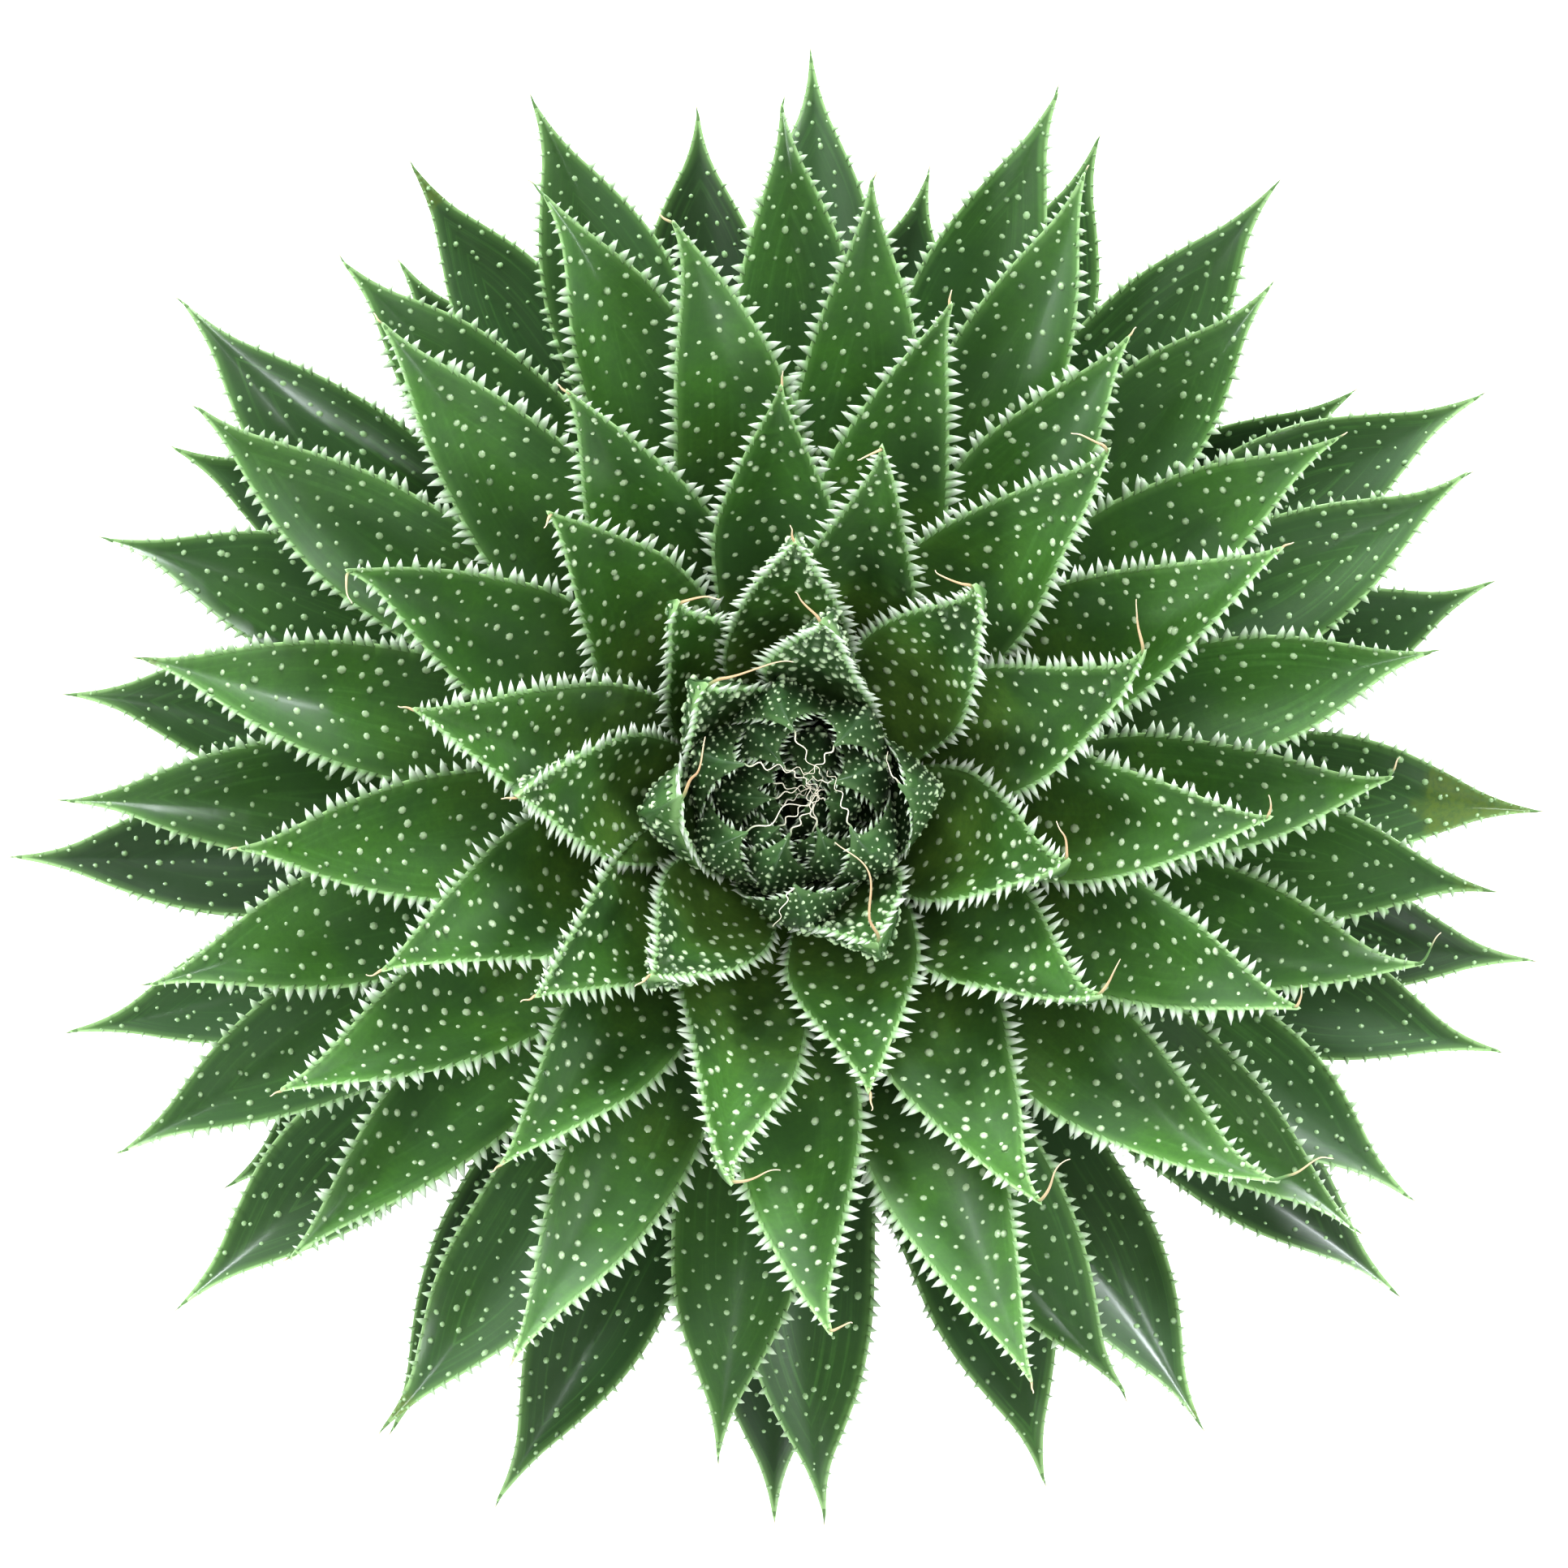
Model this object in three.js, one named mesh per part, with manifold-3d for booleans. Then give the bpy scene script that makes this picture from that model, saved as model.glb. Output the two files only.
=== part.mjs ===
// Potted lace aloe: a dense rosette of toothed, incurved leaves on a short stem, in a plain clay pot.
// Units are millimetres and degrees, +Z is up. The origin is the middle of the pot's foot.

import * as THREE from 'three';
import { mergeVertices } from 'three/addons/utils/BufferGeometryUtils.js';
import Module from 'manifold-3d';

const wasm = await Module();
wasm.setup();

// Pot
const potHeight = 92;
const potRimRadius = 52;
const potRimHeight = 17;
const potRimLip = 3.5; // how far the rim band stands out from the body under it
const potFootRadius = 36;
const potWall = 5;
const potFloor = 6;
const drainRadius = 6;
const potEdge = 1.2; // width of the worn bevels on the rim and the foot
const potSides = 40;

// Soil
const headspace = 9; // from the soil's edge up to the top of the rim
const soilMound = 2; // how much higher the soil lies round the stem
const stemPlanting = 12; // how deep the stem's foot is set into the soil

// Rosette
const rosetteRadius = 88.5;
const reachStart = 28; // the reach from the axis grows from leaf to leaf: its start, fade and power
const reachFade = 56;
const reachPower = 2.13;
const plantOffset = { x: 2, y: -2 }; // the plant stands a little off the pot's axis
const goldenTurn = 137.508;
const spiralStart = 201;
const crownRadius = 5.3; // the stem's top, inside the innermost leaves
const stemSpread = 0.95; // how fast the stem widens downwards, leaf by leaf
const stemSpreadPower = 0.55;
const seatShare = 0.3; // mean height from one leaf's seat to the next, in base thicknesses
const seatPower = 1.2; // above 1, the seats lie closer together towards the crown
const stemSides = 24;
const stemRings = 7;

// Leaves
const leafWidth = 16;
const leafThickness = 4;
const leafBaseThickness = 1.2;
const innerLeafWidth = 11; // the innermost leaf, before the leaves reach their full width
const fullWidthLeaf = 18; // the first leaf of full width, counted outwards
const oldLeaf = 75; // the first leaf with an old leaf's outline, broad almost to the tip
const leafCurl = 22; // how many degrees a leaf bends upwards from base to tip
const steepest = 74; // slope of the innermost leaf
const flattest = 8; // slope that the outer leaves come down to
const slopeFade = 46; // leaves it takes for the slope to fall to a third
const bendLength = 0.6; // share of the leaf within which it has turned to its own heading
const profileSteps = 24; // straight steps in a leaf's middle line
const singleLeaves = 55; // leaves that are pieces of their own; the rest share one sheath
const sheathRings = 4;
const sheathDrop = 0.7; // how far its top lies below its highest leaf's seat, in base thicknesses

// Bud
const budHeight = 34;
const budRadius = 7.5;
const budFootSwell = 0.18; // how far up its bulge the bud is cut off at the foot
const budRings = 9;
const budSides = 18;

// Clearances
const gap = 0.3; // between pieces that rest on or in each other
const rimClearance = 1.5; // between the lowest leaf and the rim that it passes over
const mergeDistance = 1e-4; // points nearer than this are one point

// How far each place on the spiral departs from it, innermost first: [turn in degrees, reach in
// hundredths of the rosette's radius]. null is a place with no leaf.
const departures = [
  [-18, -6], [18, 1], [15, -3], [-18, -6], null, [-1, 3], [-5, 6], null, [-5, 5], [4, 2], null, [-7, -7],
  [-6, -3], [2, 3], [-1, 5], [-12, -3], [7, 7], [-4, 2], [11, 1], null, [-7, -5], [7, 6], [-6, 6], null,
  [-11, -8], [-5, 2], [6, 1], [5, -6], [-10, -3], null, [-9, 6], [13, 1], [-4, -6], [-5, 0], [6, 6],
  [7, -3], [1, 8], [-2, -9], null, [5, 5], [-2, -1], [-5, 0], [0, -6], [6, -5], null, [-2, 1], [6, -6],
  [3, 5], [1, -2], null, [2, 2], [7, -1], null, [-3, -3], [8, -5], [-3, -1], [3, 1], null, [3, 3], [6, -5],
  null, [-3, 0], [9, 0], [1, 3], [6, -1], [0, -7], [3, -1], [6, -2], [-4, 5], [-2, 5], [1, -6], [-1, 2],
  [3, 3], [-4, 3], [4, 3], [1, 0], null, [0, 7], [-5, -2], [5, 8], [0, 1], [-4, 8], [2, 2], [-4, 1],
  [0, 0], [-1, 8], [-6, 3], [3, 1], [-2, 1], [-3, 3], [-1, -1], [4, -2], [-1, -3], [3, -1], [0, 1],
  [2, -5], [1, 5], [3, 6], [-8, -6], [0, -3], [-3, -9], [-7, 2], [-1, -7], [1, -12],
];
const places = departures.length;
const spiral = departures.map((_, place) => place).filter((place) => departures[place]);

// Station by station along a leaf: share of its length, of its half width while it is young and
// once it is old, and of its thickness.
const bladeStations = [
  { along: 0, young: 0.42, old: 0.42, thick: leafBaseThickness / leafThickness },
  { along: 0.14, young: 0.68, old: 0.66, thick: 0.52 },
  { along: 0.34, young: 1, old: 0.92, thick: 0.92 },
  { along: 0.55, young: 0.86, old: 1, thick: 1 },
  { along: 0.75, young: 0.5, old: 0.8, thick: 0.72 },
  { along: 0.9, young: 0.2, old: 0.24, thick: 0.36 },
];
// A leaf's section, keel first: shares of the half width and of the thickness, channelled on top.
const bladeSection = [[0, -1], [0.6, -0.72], [1, 0], [0, -0.12], [-1, 0], [-0.6, -0.72]];

const clay = new THREE.MeshStandardMaterial({ color: 0xb5683f, roughness: 0.85, metalness: 0 });
const earth = new THREE.MeshStandardMaterial({ color: 0x3a2a1f, roughness: 0.95, metalness: 0 });
const stemGreen = new THREE.MeshStandardMaterial({ color: 0x8a9a55, roughness: 0.7, metalness: 0 });
const leafGreen = new THREE.MeshStandardMaterial({ color: 0x3f7a34, roughness: 0.45, metalness: 0 });
const darkGreen = new THREE.MeshStandardMaterial({ color: 0x2f5a38, roughness: 0.5, metalness: 0 });

const radians = THREE.MathUtils.degToRad;
const potBodyRadius = potRimRadius - potRimLip;
const soilTop = potHeight - headspace;

/** The pot's inner radius at a height. */
function potBore(z) {
  const share = (z - potFloor) / (potHeight - potFloor);
  return THREE.MathUtils.lerp(potFootRadius, potBodyRadius, share) - potWall;
}

/** The stem's radius at a place on the spiral, where a leaf's base sits against it. */
function seatRadius(place) {
  return crownRadius + stemSpread * place ** stemSpreadPower;
}

/** The slope of the straight line from a leaf's base to its tip. */
function chordSlope(place) {
  return flattest + (steepest - flattest) * Math.exp(-place / slopeFade);
}

// The lowest leaf is carried high enough to pass over the rim.
const lastPlace = places - 1;
const stemFootRadius = seatRadius(lastPlace);
const rimRun = potRimRadius + Math.hypot(plantOffset.x, plantOffset.y) - stemFootRadius;
const lowestRise = rimRun * Math.tan(radians(chordSlope(lastPlace) - leafCurl / 2));
const lowestSeat = potHeight + rimClearance + leafThickness - lowestRise;
const leafZone = seatShare * leafBaseThickness * places;

/** The height of a leaf's seat on the stem: the leaves lie closer together towards the crown. */
function seatHeight(place) {
  return lowestSeat + leafZone * (1 - (place / lastPlace) ** seatPower);
}

const crownHeight = seatHeight(0) - leafBaseThickness / 2;

/** Where a leaf stands and how it runs. */
function leafCourse(place) {
  const [turn, extra] = departures[place];
  const typicalReach = rosetteRadius * (1 - Math.exp(-(((place + reachStart) / reachFade) ** reachPower)));
  const run = typicalReach + (extra / 100) * rosetteRadius - seatRadius(place);
  const slope = chordSlope(place);
  const fullness = Math.min(1, place / fullWidthLeaf);
  return {
    heading: spiralStart - goldenTurn * place,
    turn,
    slope,
    length: run / Math.cos(radians(slope)),
    halfWidth: THREE.MathUtils.lerp(innerLeafWidth, leafWidth, fullness) / 2,
    age: Math.min(1, place / oldLeaf),
  };
}

/** Points along a leaf's middle, from the stem to the tip, as distance from the axis and height. */
function leafProfile(place, course) {
  const points = [{ radius: seatRadius(place) + gap, height: seatHeight(place) }];
  const step = course.length / profileSteps;
  for (let i = 0; i < profileSteps; i++) {
    const slope = radians(course.slope + leafCurl * ((i + 0.5) / profileSteps - 0.5));
    const last = points[i];
    points.push({
      radius: last.radius + step * Math.cos(slope),
      height: last.height + step * Math.sin(slope),
    });
  }
  return points;
}

/** The direction that a leaf has turned to a share of the way along it. */
function headingAt(course, along) {
  return radians(course.heading + course.turn * THREE.MathUtils.smoothstep(along, 0, bendLength));
}

/** A point on a leaf's middle line, a share of the way along it. */
function leafPoint(course, profile, along) {
  const at = along * (profile.length - 1);
  const i = Math.min(Math.floor(at), profile.length - 2);
  const radius = THREE.MathUtils.lerp(profile[i].radius, profile[i + 1].radius, at - i);
  const height = THREE.MathUtils.lerp(profile[i].height, profile[i + 1].height, at - i);
  const heading = headingAt(course, along);
  return new THREE.Vector3(radius * Math.cos(heading), radius * Math.sin(heading), height);
}

/** One leaf as a closed blade: a ring of points at each station, a cap at the base and a point. */
function leafGeometry(place) {
  const course = leafCourse(place);
  const profile = leafProfile(place, course);
  const points = [];
  for (const { along, young, old, thick } of bladeStations) {
    const width = THREE.MathUtils.lerp(young, old, course.age) * course.halfWidth;
    const middle = leafPoint(course, profile, along);
    const ahead = leafPoint(course, profile, along + 1 / profileSteps).sub(middle).normalize();
    const heading = headingAt(course, along);
    const across = new THREE.Vector3(-Math.sin(heading), Math.cos(heading), 0);
    across.addScaledVector(ahead, -across.dot(ahead)).normalize();
    const up = new THREE.Vector3().crossVectors(ahead, across);
    for (const [x, y] of bladeSection) {
      points.push(
        middle
          .clone()
          .addScaledVector(across, x * width)
          .addScaledVector(up, y * thick * leafThickness),
      );
    }
  }
  points.push(leafPoint(course, profile, 1));

  const sides = bladeSection.length;
  const apex = points.length - 1;
  const lastRing = apex - sides;
  const faces = [];
  for (let j = 0; j < sides; j++) {
    const next = (j + 1) % sides;
    for (let ring = 0; ring < lastRing; ring += sides) {
      faces.push(ring + j, ring + next, ring + sides + next);
      faces.push(ring + j, ring + sides + next, ring + sides + j);
    }
    faces.push(lastRing + j, lastRing + next, apex);
    if (j > 0 && next > 0) faces.push(0, next, j);
  }
  const geometry = new THREE.BufferGeometry().setFromPoints(points);
  geometry.setIndex(faces);
  return geometry;
}

/** A turned solid from points of radius and height, on the Z axis. */
function turned(outline, sides) {
  const geometry = new THREE.LatheGeometry(
    outline.map(([radius, height]) => new THREE.Vector2(radius, height)),
    sides,
  );
  return geometry.rotateX(Math.PI / 2);
}

/** A closed geometry as a solid that can be joined and cut. */
function solidFrom(geometry) {
  const bare = geometry.clone();
  bare.deleteAttribute('normal');
  bare.deleteAttribute('uv');
  const merged = mergeVertices(bare, mergeDistance);
  const vertProperties = new Float32Array(merged.attributes.position.array);
  const triVerts = new Uint32Array(merged.index.array);
  return new wasm.Manifold(new wasm.Mesh({ numProp: 3, vertProperties, triVerts }));
}

/** A solid as a geometry. */
function geometryFrom(solid) {
  const { vertProperties, triVerts } = solid.getMesh();
  const geometry = new THREE.BufferGeometry();
  geometry.setAttribute('position', new THREE.BufferAttribute(vertProperties, 3));
  geometry.setIndex(new THREE.BufferAttribute(triVerts, 1));
  return geometry;
}

function potGeometry() {
  const rimBottom = potHeight - potRimHeight;
  const bodyTop = THREE.MathUtils.lerp(potFootRadius, potBodyRadius, rimBottom / potHeight);
  return turned(
    [
      [drainRadius, 0],
      [potFootRadius - potEdge, 0],
      [potFootRadius, potEdge],
      [bodyTop, rimBottom],
      [potRimRadius - potEdge, rimBottom],
      [potRimRadius, rimBottom + potEdge],
      [potRimRadius, potHeight - potEdge],
      [potRimRadius - potEdge, potHeight],
      [potBore(potHeight) + potEdge, potHeight],
      [potBore(potHeight), potHeight - potEdge],
      [potBore(potFloor), potFloor],
      [drainRadius, potFloor],
      [drainRadius, 0],
    ],
    potSides,
  );
}

function soilGeometry() {
  const bottom = potFloor + gap;
  const soil = turned(
    [
      [0, bottom],
      [potBore(bottom) - gap, bottom],
      [potBore(soilTop) - gap, soilTop],
      [potBore(soilTop) / 2, soilTop + soilMound],
      [0, soilTop + soilMound],
    ],
    potSides,
  );
  const depth = stemPlanting + soilMound + gap;
  const hole = new THREE.CylinderGeometry(stemFootRadius + gap, stemFootRadius + gap, 2 * depth, stemSides);
  hole.rotateX(Math.PI / 2).translate(plantOffset.x, plantOffset.y, soilTop + soilMound);
  return geometryFrom(solidFrom(soil).subtract(solidFrom(hole)));
}

/** The stem's outline from its lowest leaf up: a cone that narrows leaf by leaf to the crown. */
function stemOutline() {
  const outline = [];
  for (let i = 0; i <= stemRings; i++) {
    const place = lastPlace * (1 - i / stemRings) ** 2;
    outline.push([seatRadius(place), seatHeight(place) - leafBaseThickness / 2]);
  }
  return outline;
}

function stemGeometry() {
  const foot = soilTop - stemPlanting;
  return turned(
    [[0, foot], [stemFootRadius, foot], ...stemOutline(), [0, crownHeight]],
    stemSides,
  );
}

/** The furled young leaves at the heart of the rosette, as one pointed bud. */
function budGeometry() {
  const foot = crownHeight + gap;
  const outline = [[0, foot]];
  for (let i = 0; i < budRings; i++) {
    const share = i / budRings;
    const swell = Math.sin(Math.PI * THREE.MathUtils.lerp(budFootSwell, 1, share));
    outline.push([budRadius * swell, foot + budHeight * share]);
  }
  outline.push([0, foot + budHeight]);
  return turned(outline, budSides);
}

/** The sheath that the lowest leaves' bases form round the stem, up to a height. */
function sheathGeometry(top) {
  const foot = lowestSeat - leafBaseThickness;
  const inside = [];
  for (let i = 0; i <= sheathRings; i++) {
    const height = THREE.MathUtils.lerp(foot, top, i / sheathRings);
    const share = THREE.MathUtils.clamp(1 - (height - lowestSeat) / leafZone, 0, 1);
    inside.push([seatRadius(lastPlace * share ** (1 / seatPower)) + gap, height]);
  }
  const outside = inside.map(([radius, height]) => [radius + leafBaseThickness, height]);
  return turned([...outside, ...inside.reverse(), outside[0]], stemSides);
}

/** The lowest leaves, whose bases join in one sheath round the stem. */
function lowerLeavesGeometry() {
  const lower = spiral.slice(singleLeaves);
  const sheathTop = seatHeight(lower[0]) - sheathDrop * leafBaseThickness;
  let joined = solidFrom(sheathGeometry(sheathTop));
  for (const place of lower) joined = joined.add(solidFrom(leafGeometry(place)));
  return geometryFrom(joined);
}

/** A named piece with a finish of its own. */
function piece(name, geometry, finish) {
  const mesh = new THREE.Mesh(geometry, finish.clone());
  mesh.name = name;
  return mesh;
}

const plant = new THREE.Group();
plant.position.set(plantOffset.x, plantOffset.y, 0);
plant.add(piece('stem', stemGeometry(), stemGreen));
plant.add(piece('bud', budGeometry(), darkGreen));
spiral.slice(0, singleLeaves).forEach((place, i) => {
  plant.add(piece(`leaf_${String(i + 1).padStart(2, '0')}`, leafGeometry(place), leafGreen));
});
plant.add(piece('lower_leaves', lowerLeavesGeometry(), leafGreen));

const pottedAloe = new THREE.Group();
pottedAloe.add(piece('pot', potGeometry(), clay), piece('soil', soilGeometry(), earth), plant);

export default pottedAloe;
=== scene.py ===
"""Potted lace aloe: fine leaves, teeth, tubercles, clay pot and soil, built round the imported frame.

Every length is in metres, in the frame's own coordinates. Angles are in degrees unless a name says otherwise.
"""

import logging
import math
from dataclasses import dataclass, field
from enum import Enum
from typing import Iterator, Sequence

import bpy
import numpy as np
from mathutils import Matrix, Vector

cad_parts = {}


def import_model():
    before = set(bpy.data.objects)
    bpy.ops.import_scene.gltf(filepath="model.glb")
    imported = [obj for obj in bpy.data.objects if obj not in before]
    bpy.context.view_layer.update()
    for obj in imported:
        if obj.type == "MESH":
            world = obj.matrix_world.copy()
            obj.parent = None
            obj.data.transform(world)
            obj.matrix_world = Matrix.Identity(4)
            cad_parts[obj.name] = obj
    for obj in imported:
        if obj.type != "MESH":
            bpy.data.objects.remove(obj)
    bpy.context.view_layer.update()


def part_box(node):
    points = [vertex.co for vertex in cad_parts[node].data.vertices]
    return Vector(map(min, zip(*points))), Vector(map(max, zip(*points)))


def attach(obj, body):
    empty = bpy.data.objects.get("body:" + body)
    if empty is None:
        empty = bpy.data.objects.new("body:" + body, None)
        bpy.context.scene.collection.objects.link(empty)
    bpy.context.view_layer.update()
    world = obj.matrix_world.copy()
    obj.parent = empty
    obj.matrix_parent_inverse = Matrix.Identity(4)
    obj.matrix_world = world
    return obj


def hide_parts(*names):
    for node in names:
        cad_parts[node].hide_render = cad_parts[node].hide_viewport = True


LOG = logging.getLogger("potted_aloe")
MM = 0.001
BODY = "root"

Array = np.ndarray
Colour = tuple[float, float, float, float]


class Kind(Enum):
    """The kinds of leaf that the rosette carries, by their place on the spiral."""

    HEART = "heart"
    SINGLE = "single"
    LOWER = "lower"


# How far each place on the spiral departs from it, innermost first: (turn in degrees, reach in
# hundredths of the rosette's radius). None is a place with no leaf.
DEPARTURES: tuple[tuple[int, int] | None, ...] = (
    (-18, -6), (18, 1), (15, -3), (-18, -6), None, (-1, 3), (-5, 6), None, (-5, 5), (4, 2), None,
    (-7, -7), (-6, -3), (2, 3), (-1, 5), (-12, -3), (7, 7), (-4, 2), (11, 1), None, (-7, -5), (7, 6),
    (-6, 6), None, (-11, -8), (-5, 2), (6, 1), (5, -6), (-10, -3), None, (-9, 6), (13, 1), (-4, -6),
    (-5, 0), (6, 6), (7, -3), (1, 8), (-2, -9), None, (5, 5), (-2, -1), (-5, 0), (0, -6), (6, -5), None,
    (-2, 1), (6, -6), (3, 5), (1, -2), None, (2, 2), (7, -1), None, (-3, -3), (8, -5), (-3, -1), (3, 1),
    None, (3, 3), (6, -5), None, (-3, 0), (9, 0), (1, 3), (6, -1), (0, -7), (3, -1), (6, -2), (-4, 5),
    (-2, 5), (1, -6), (-1, 2), (3, 3), (-4, 3), (4, 3), (1, 0), None, (0, 7), (-5, -2), (5, 8), (0, 1),
    (-4, 8), (2, 2), (-4, 1), (0, 0), (-1, 8), (-6, 3), (3, 1), (-2, 1), (-3, 3), (-1, -1), (4, -2),
    (-1, -3), (3, -1), (0, 1), (2, -5), (1, 5), (3, 6), (-8, -6), (0, -3), (-3, -9), (-7, 2), (-1, -7),
    (1, -12),
)

# How far the ends of some leaves have dried, by place: 1 is a fifth of the leaf.
DRY_ENDS: dict[int, float] = {59: 0.1, 67: 0.14, 73: 0.22, 80: 0.95, 83: 0.2, 87: 0.2, 68: 0.12, 50: 0.1}

# Where the dry hair at a leaf's tip ends, by place: millimetres towards +X and +Y from the tip.
HAIR_ENDS: dict[int, tuple[float, float]] = {
    0: (2.5, 6.7), 1: (-3.1, 3.5), 2: (-4.2, 11.7), 3: (9.8, 2.7), 9: (-4.4, 1.8), 11: (4.8, 0.4),
    12: (-1.3, 4.2), 14: (-2.7, -1.5), 17: (-0.9, 5.8), 18: (5.5, 1.5), 20: (2.1, 3.9), 22: (-4.4, 1.9),
    24: (-0.5, -1.8), 25: (-0.2, 2.4), 28: (3.2, 4.9), 31: (2.5, 1.3), 33: (0.3, 2.5), 37: (0.6, -3.9),
    40: (-2.1, 1.4), 41: (6.5, 2.8), 46: (0.9, 2.4), 53: (-2.6, 2.2), 54: (2.1, 3.7),
}

# The furled leaves inside the innermost open ones: heading in degrees, distance of the tip from the
# plant's axis, length and width, in millimetres, and how many degrees the leaf bends over its length.
HEART_LEAVES: tuple[tuple[float, float, float, float, float], ...] = (
    (6, 11.9, 34, 14.5, 90), (97, 8.4, 33, 14.0, 92), (274, 9.2, 32, 15.0, 94), (52, 8.0, 32, 13.5, 96),
    (152, 7.4, 32, 14.0, 98), (328, 6.7, 31, 13.0, 100), (208, 6.4, 30, 13.0, 102), (118, 4.4, 30, 11.5, 104),
    (24, 4.6, 29, 11.0, 106), (252, 3.4, 28, 10.5, 106), (305, 3.6, 27, 9.5, 106), (172, 2.4, 26, 9.0, 106),
    (72, 2.0, 25, 8.0, 104), (140, 3.6, 24, 10.5, 74), (230, 3.2, 24, 10.5, 70), (0, 3.4, 23.5, 10.5, 66),
    (292, 3.8, 23, 10.0, 64), (64, 3.0, 22, 10.0, 60), (190, 1.8, 21, 9.0, 52), (330, 1.2, 20, 8.0, 42),
    (100, 0.8, 18, 7.0, 32),
)
# Where the hairs of the furled leaves meet, and how far those of some leaves reach instead: in
# millimetres towards +X and +Y, from the axis and from the leaf's tip.
HAIRS_MEET: tuple[float, float] = (1.9, 2.3)
HEART_HAIR_ENDS: dict[int, tuple[float, float]] = {0: (-1.3, 3.6), 2: (-2.2, -4.6)}


@dataclass(frozen=True)
class Growth:
    """The law by which leaves follow each other round the stem, the same as the frame's."""

    rosette_radius: float = 88.5 * MM
    reach_start: float = 28.0
    reach_fade: float = 56.0
    reach_power: float = 2.13
    offset: tuple[float, float] = (2 * MM, -2 * MM)
    golden_turn: float = 137.508
    spiral_start: float = 201.0
    crown_radius: float = 5.3 * MM
    stem_spread: float = 0.95 * MM
    stem_spread_power: float = 0.55
    seat_power: float = 1.2
    steepest: float = 74.0
    flattest: float = 8.0
    slope_fade: float = 46.0
    gap: float = 0.3 * MM
    crown_height: float = 131.7 * MM
    first_seat: float = 0.6 * MM
    leaf_zone: float = 37.44 * MM
    single_leaves: int = 55

    @property
    def last_place(self) -> int:
        """The outermost place on the spiral."""
        return len(DEPARTURES) - 1

    @property
    def leaf_places(self) -> list[int]:
        """The places that carry a leaf, innermost first."""
        return [place for place, departure in enumerate(DEPARTURES) if departure]

    def seat_radius(self, place: float) -> float:
        """The stem's radius at a place."""
        return self.crown_radius + self.stem_spread * max(place, 0) ** self.stem_spread_power

    def seat_height(self, place: float) -> float:
        """The height of a place on the stem.

        Args:
            place: The place on the spiral, 0 at the top.

        Returns:
            Metres above the floor.
        """
        fall = (max(place, 0) / self.last_place) ** self.seat_power
        return self.crown_height + self.first_seat - self.leaf_zone * fall

    def chord_slope(self, place: float) -> float:
        """The slope of the straight line from a leaf's base to its tip."""
        return self.flattest + (self.steepest - self.flattest) * math.exp(-place / self.slope_fade)

    def typical_reach(self, place: float) -> float:
        """The distance from the axis to a leaf's tip, before its own departure.

        Args:
            place: The place on the spiral, 0 at the top.

        Returns:
            The distance in metres.
        """
        grown = ((place + self.reach_start) / self.reach_fade) ** self.reach_power
        return self.rosette_radius * (1 - math.exp(-grown))


@dataclass(frozen=True)
class LeafPlan:
    """All that sets one leaf apart from the next."""

    name: str
    node: str
    slot: str
    kind: Kind
    heading: float
    turn: float
    seat_radius: float
    seat_height: float
    slope: float
    curl: float
    length: float
    half_width: float
    thickness: float
    cup: float
    roll: float
    sway: float
    age: float
    fullness: float
    tooth: float
    hair: tuple[float, float, float]
    dry: float
    seed: int

    @property
    def furled(self) -> bool:
        """Whether the leaf belongs to the heart."""
        return self.kind is Kind.HEART

    @property
    def tone(self) -> float:
        """The leaf's own share of lightness, from 0 to 1."""
        return self.seed % 97 / 97


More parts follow.
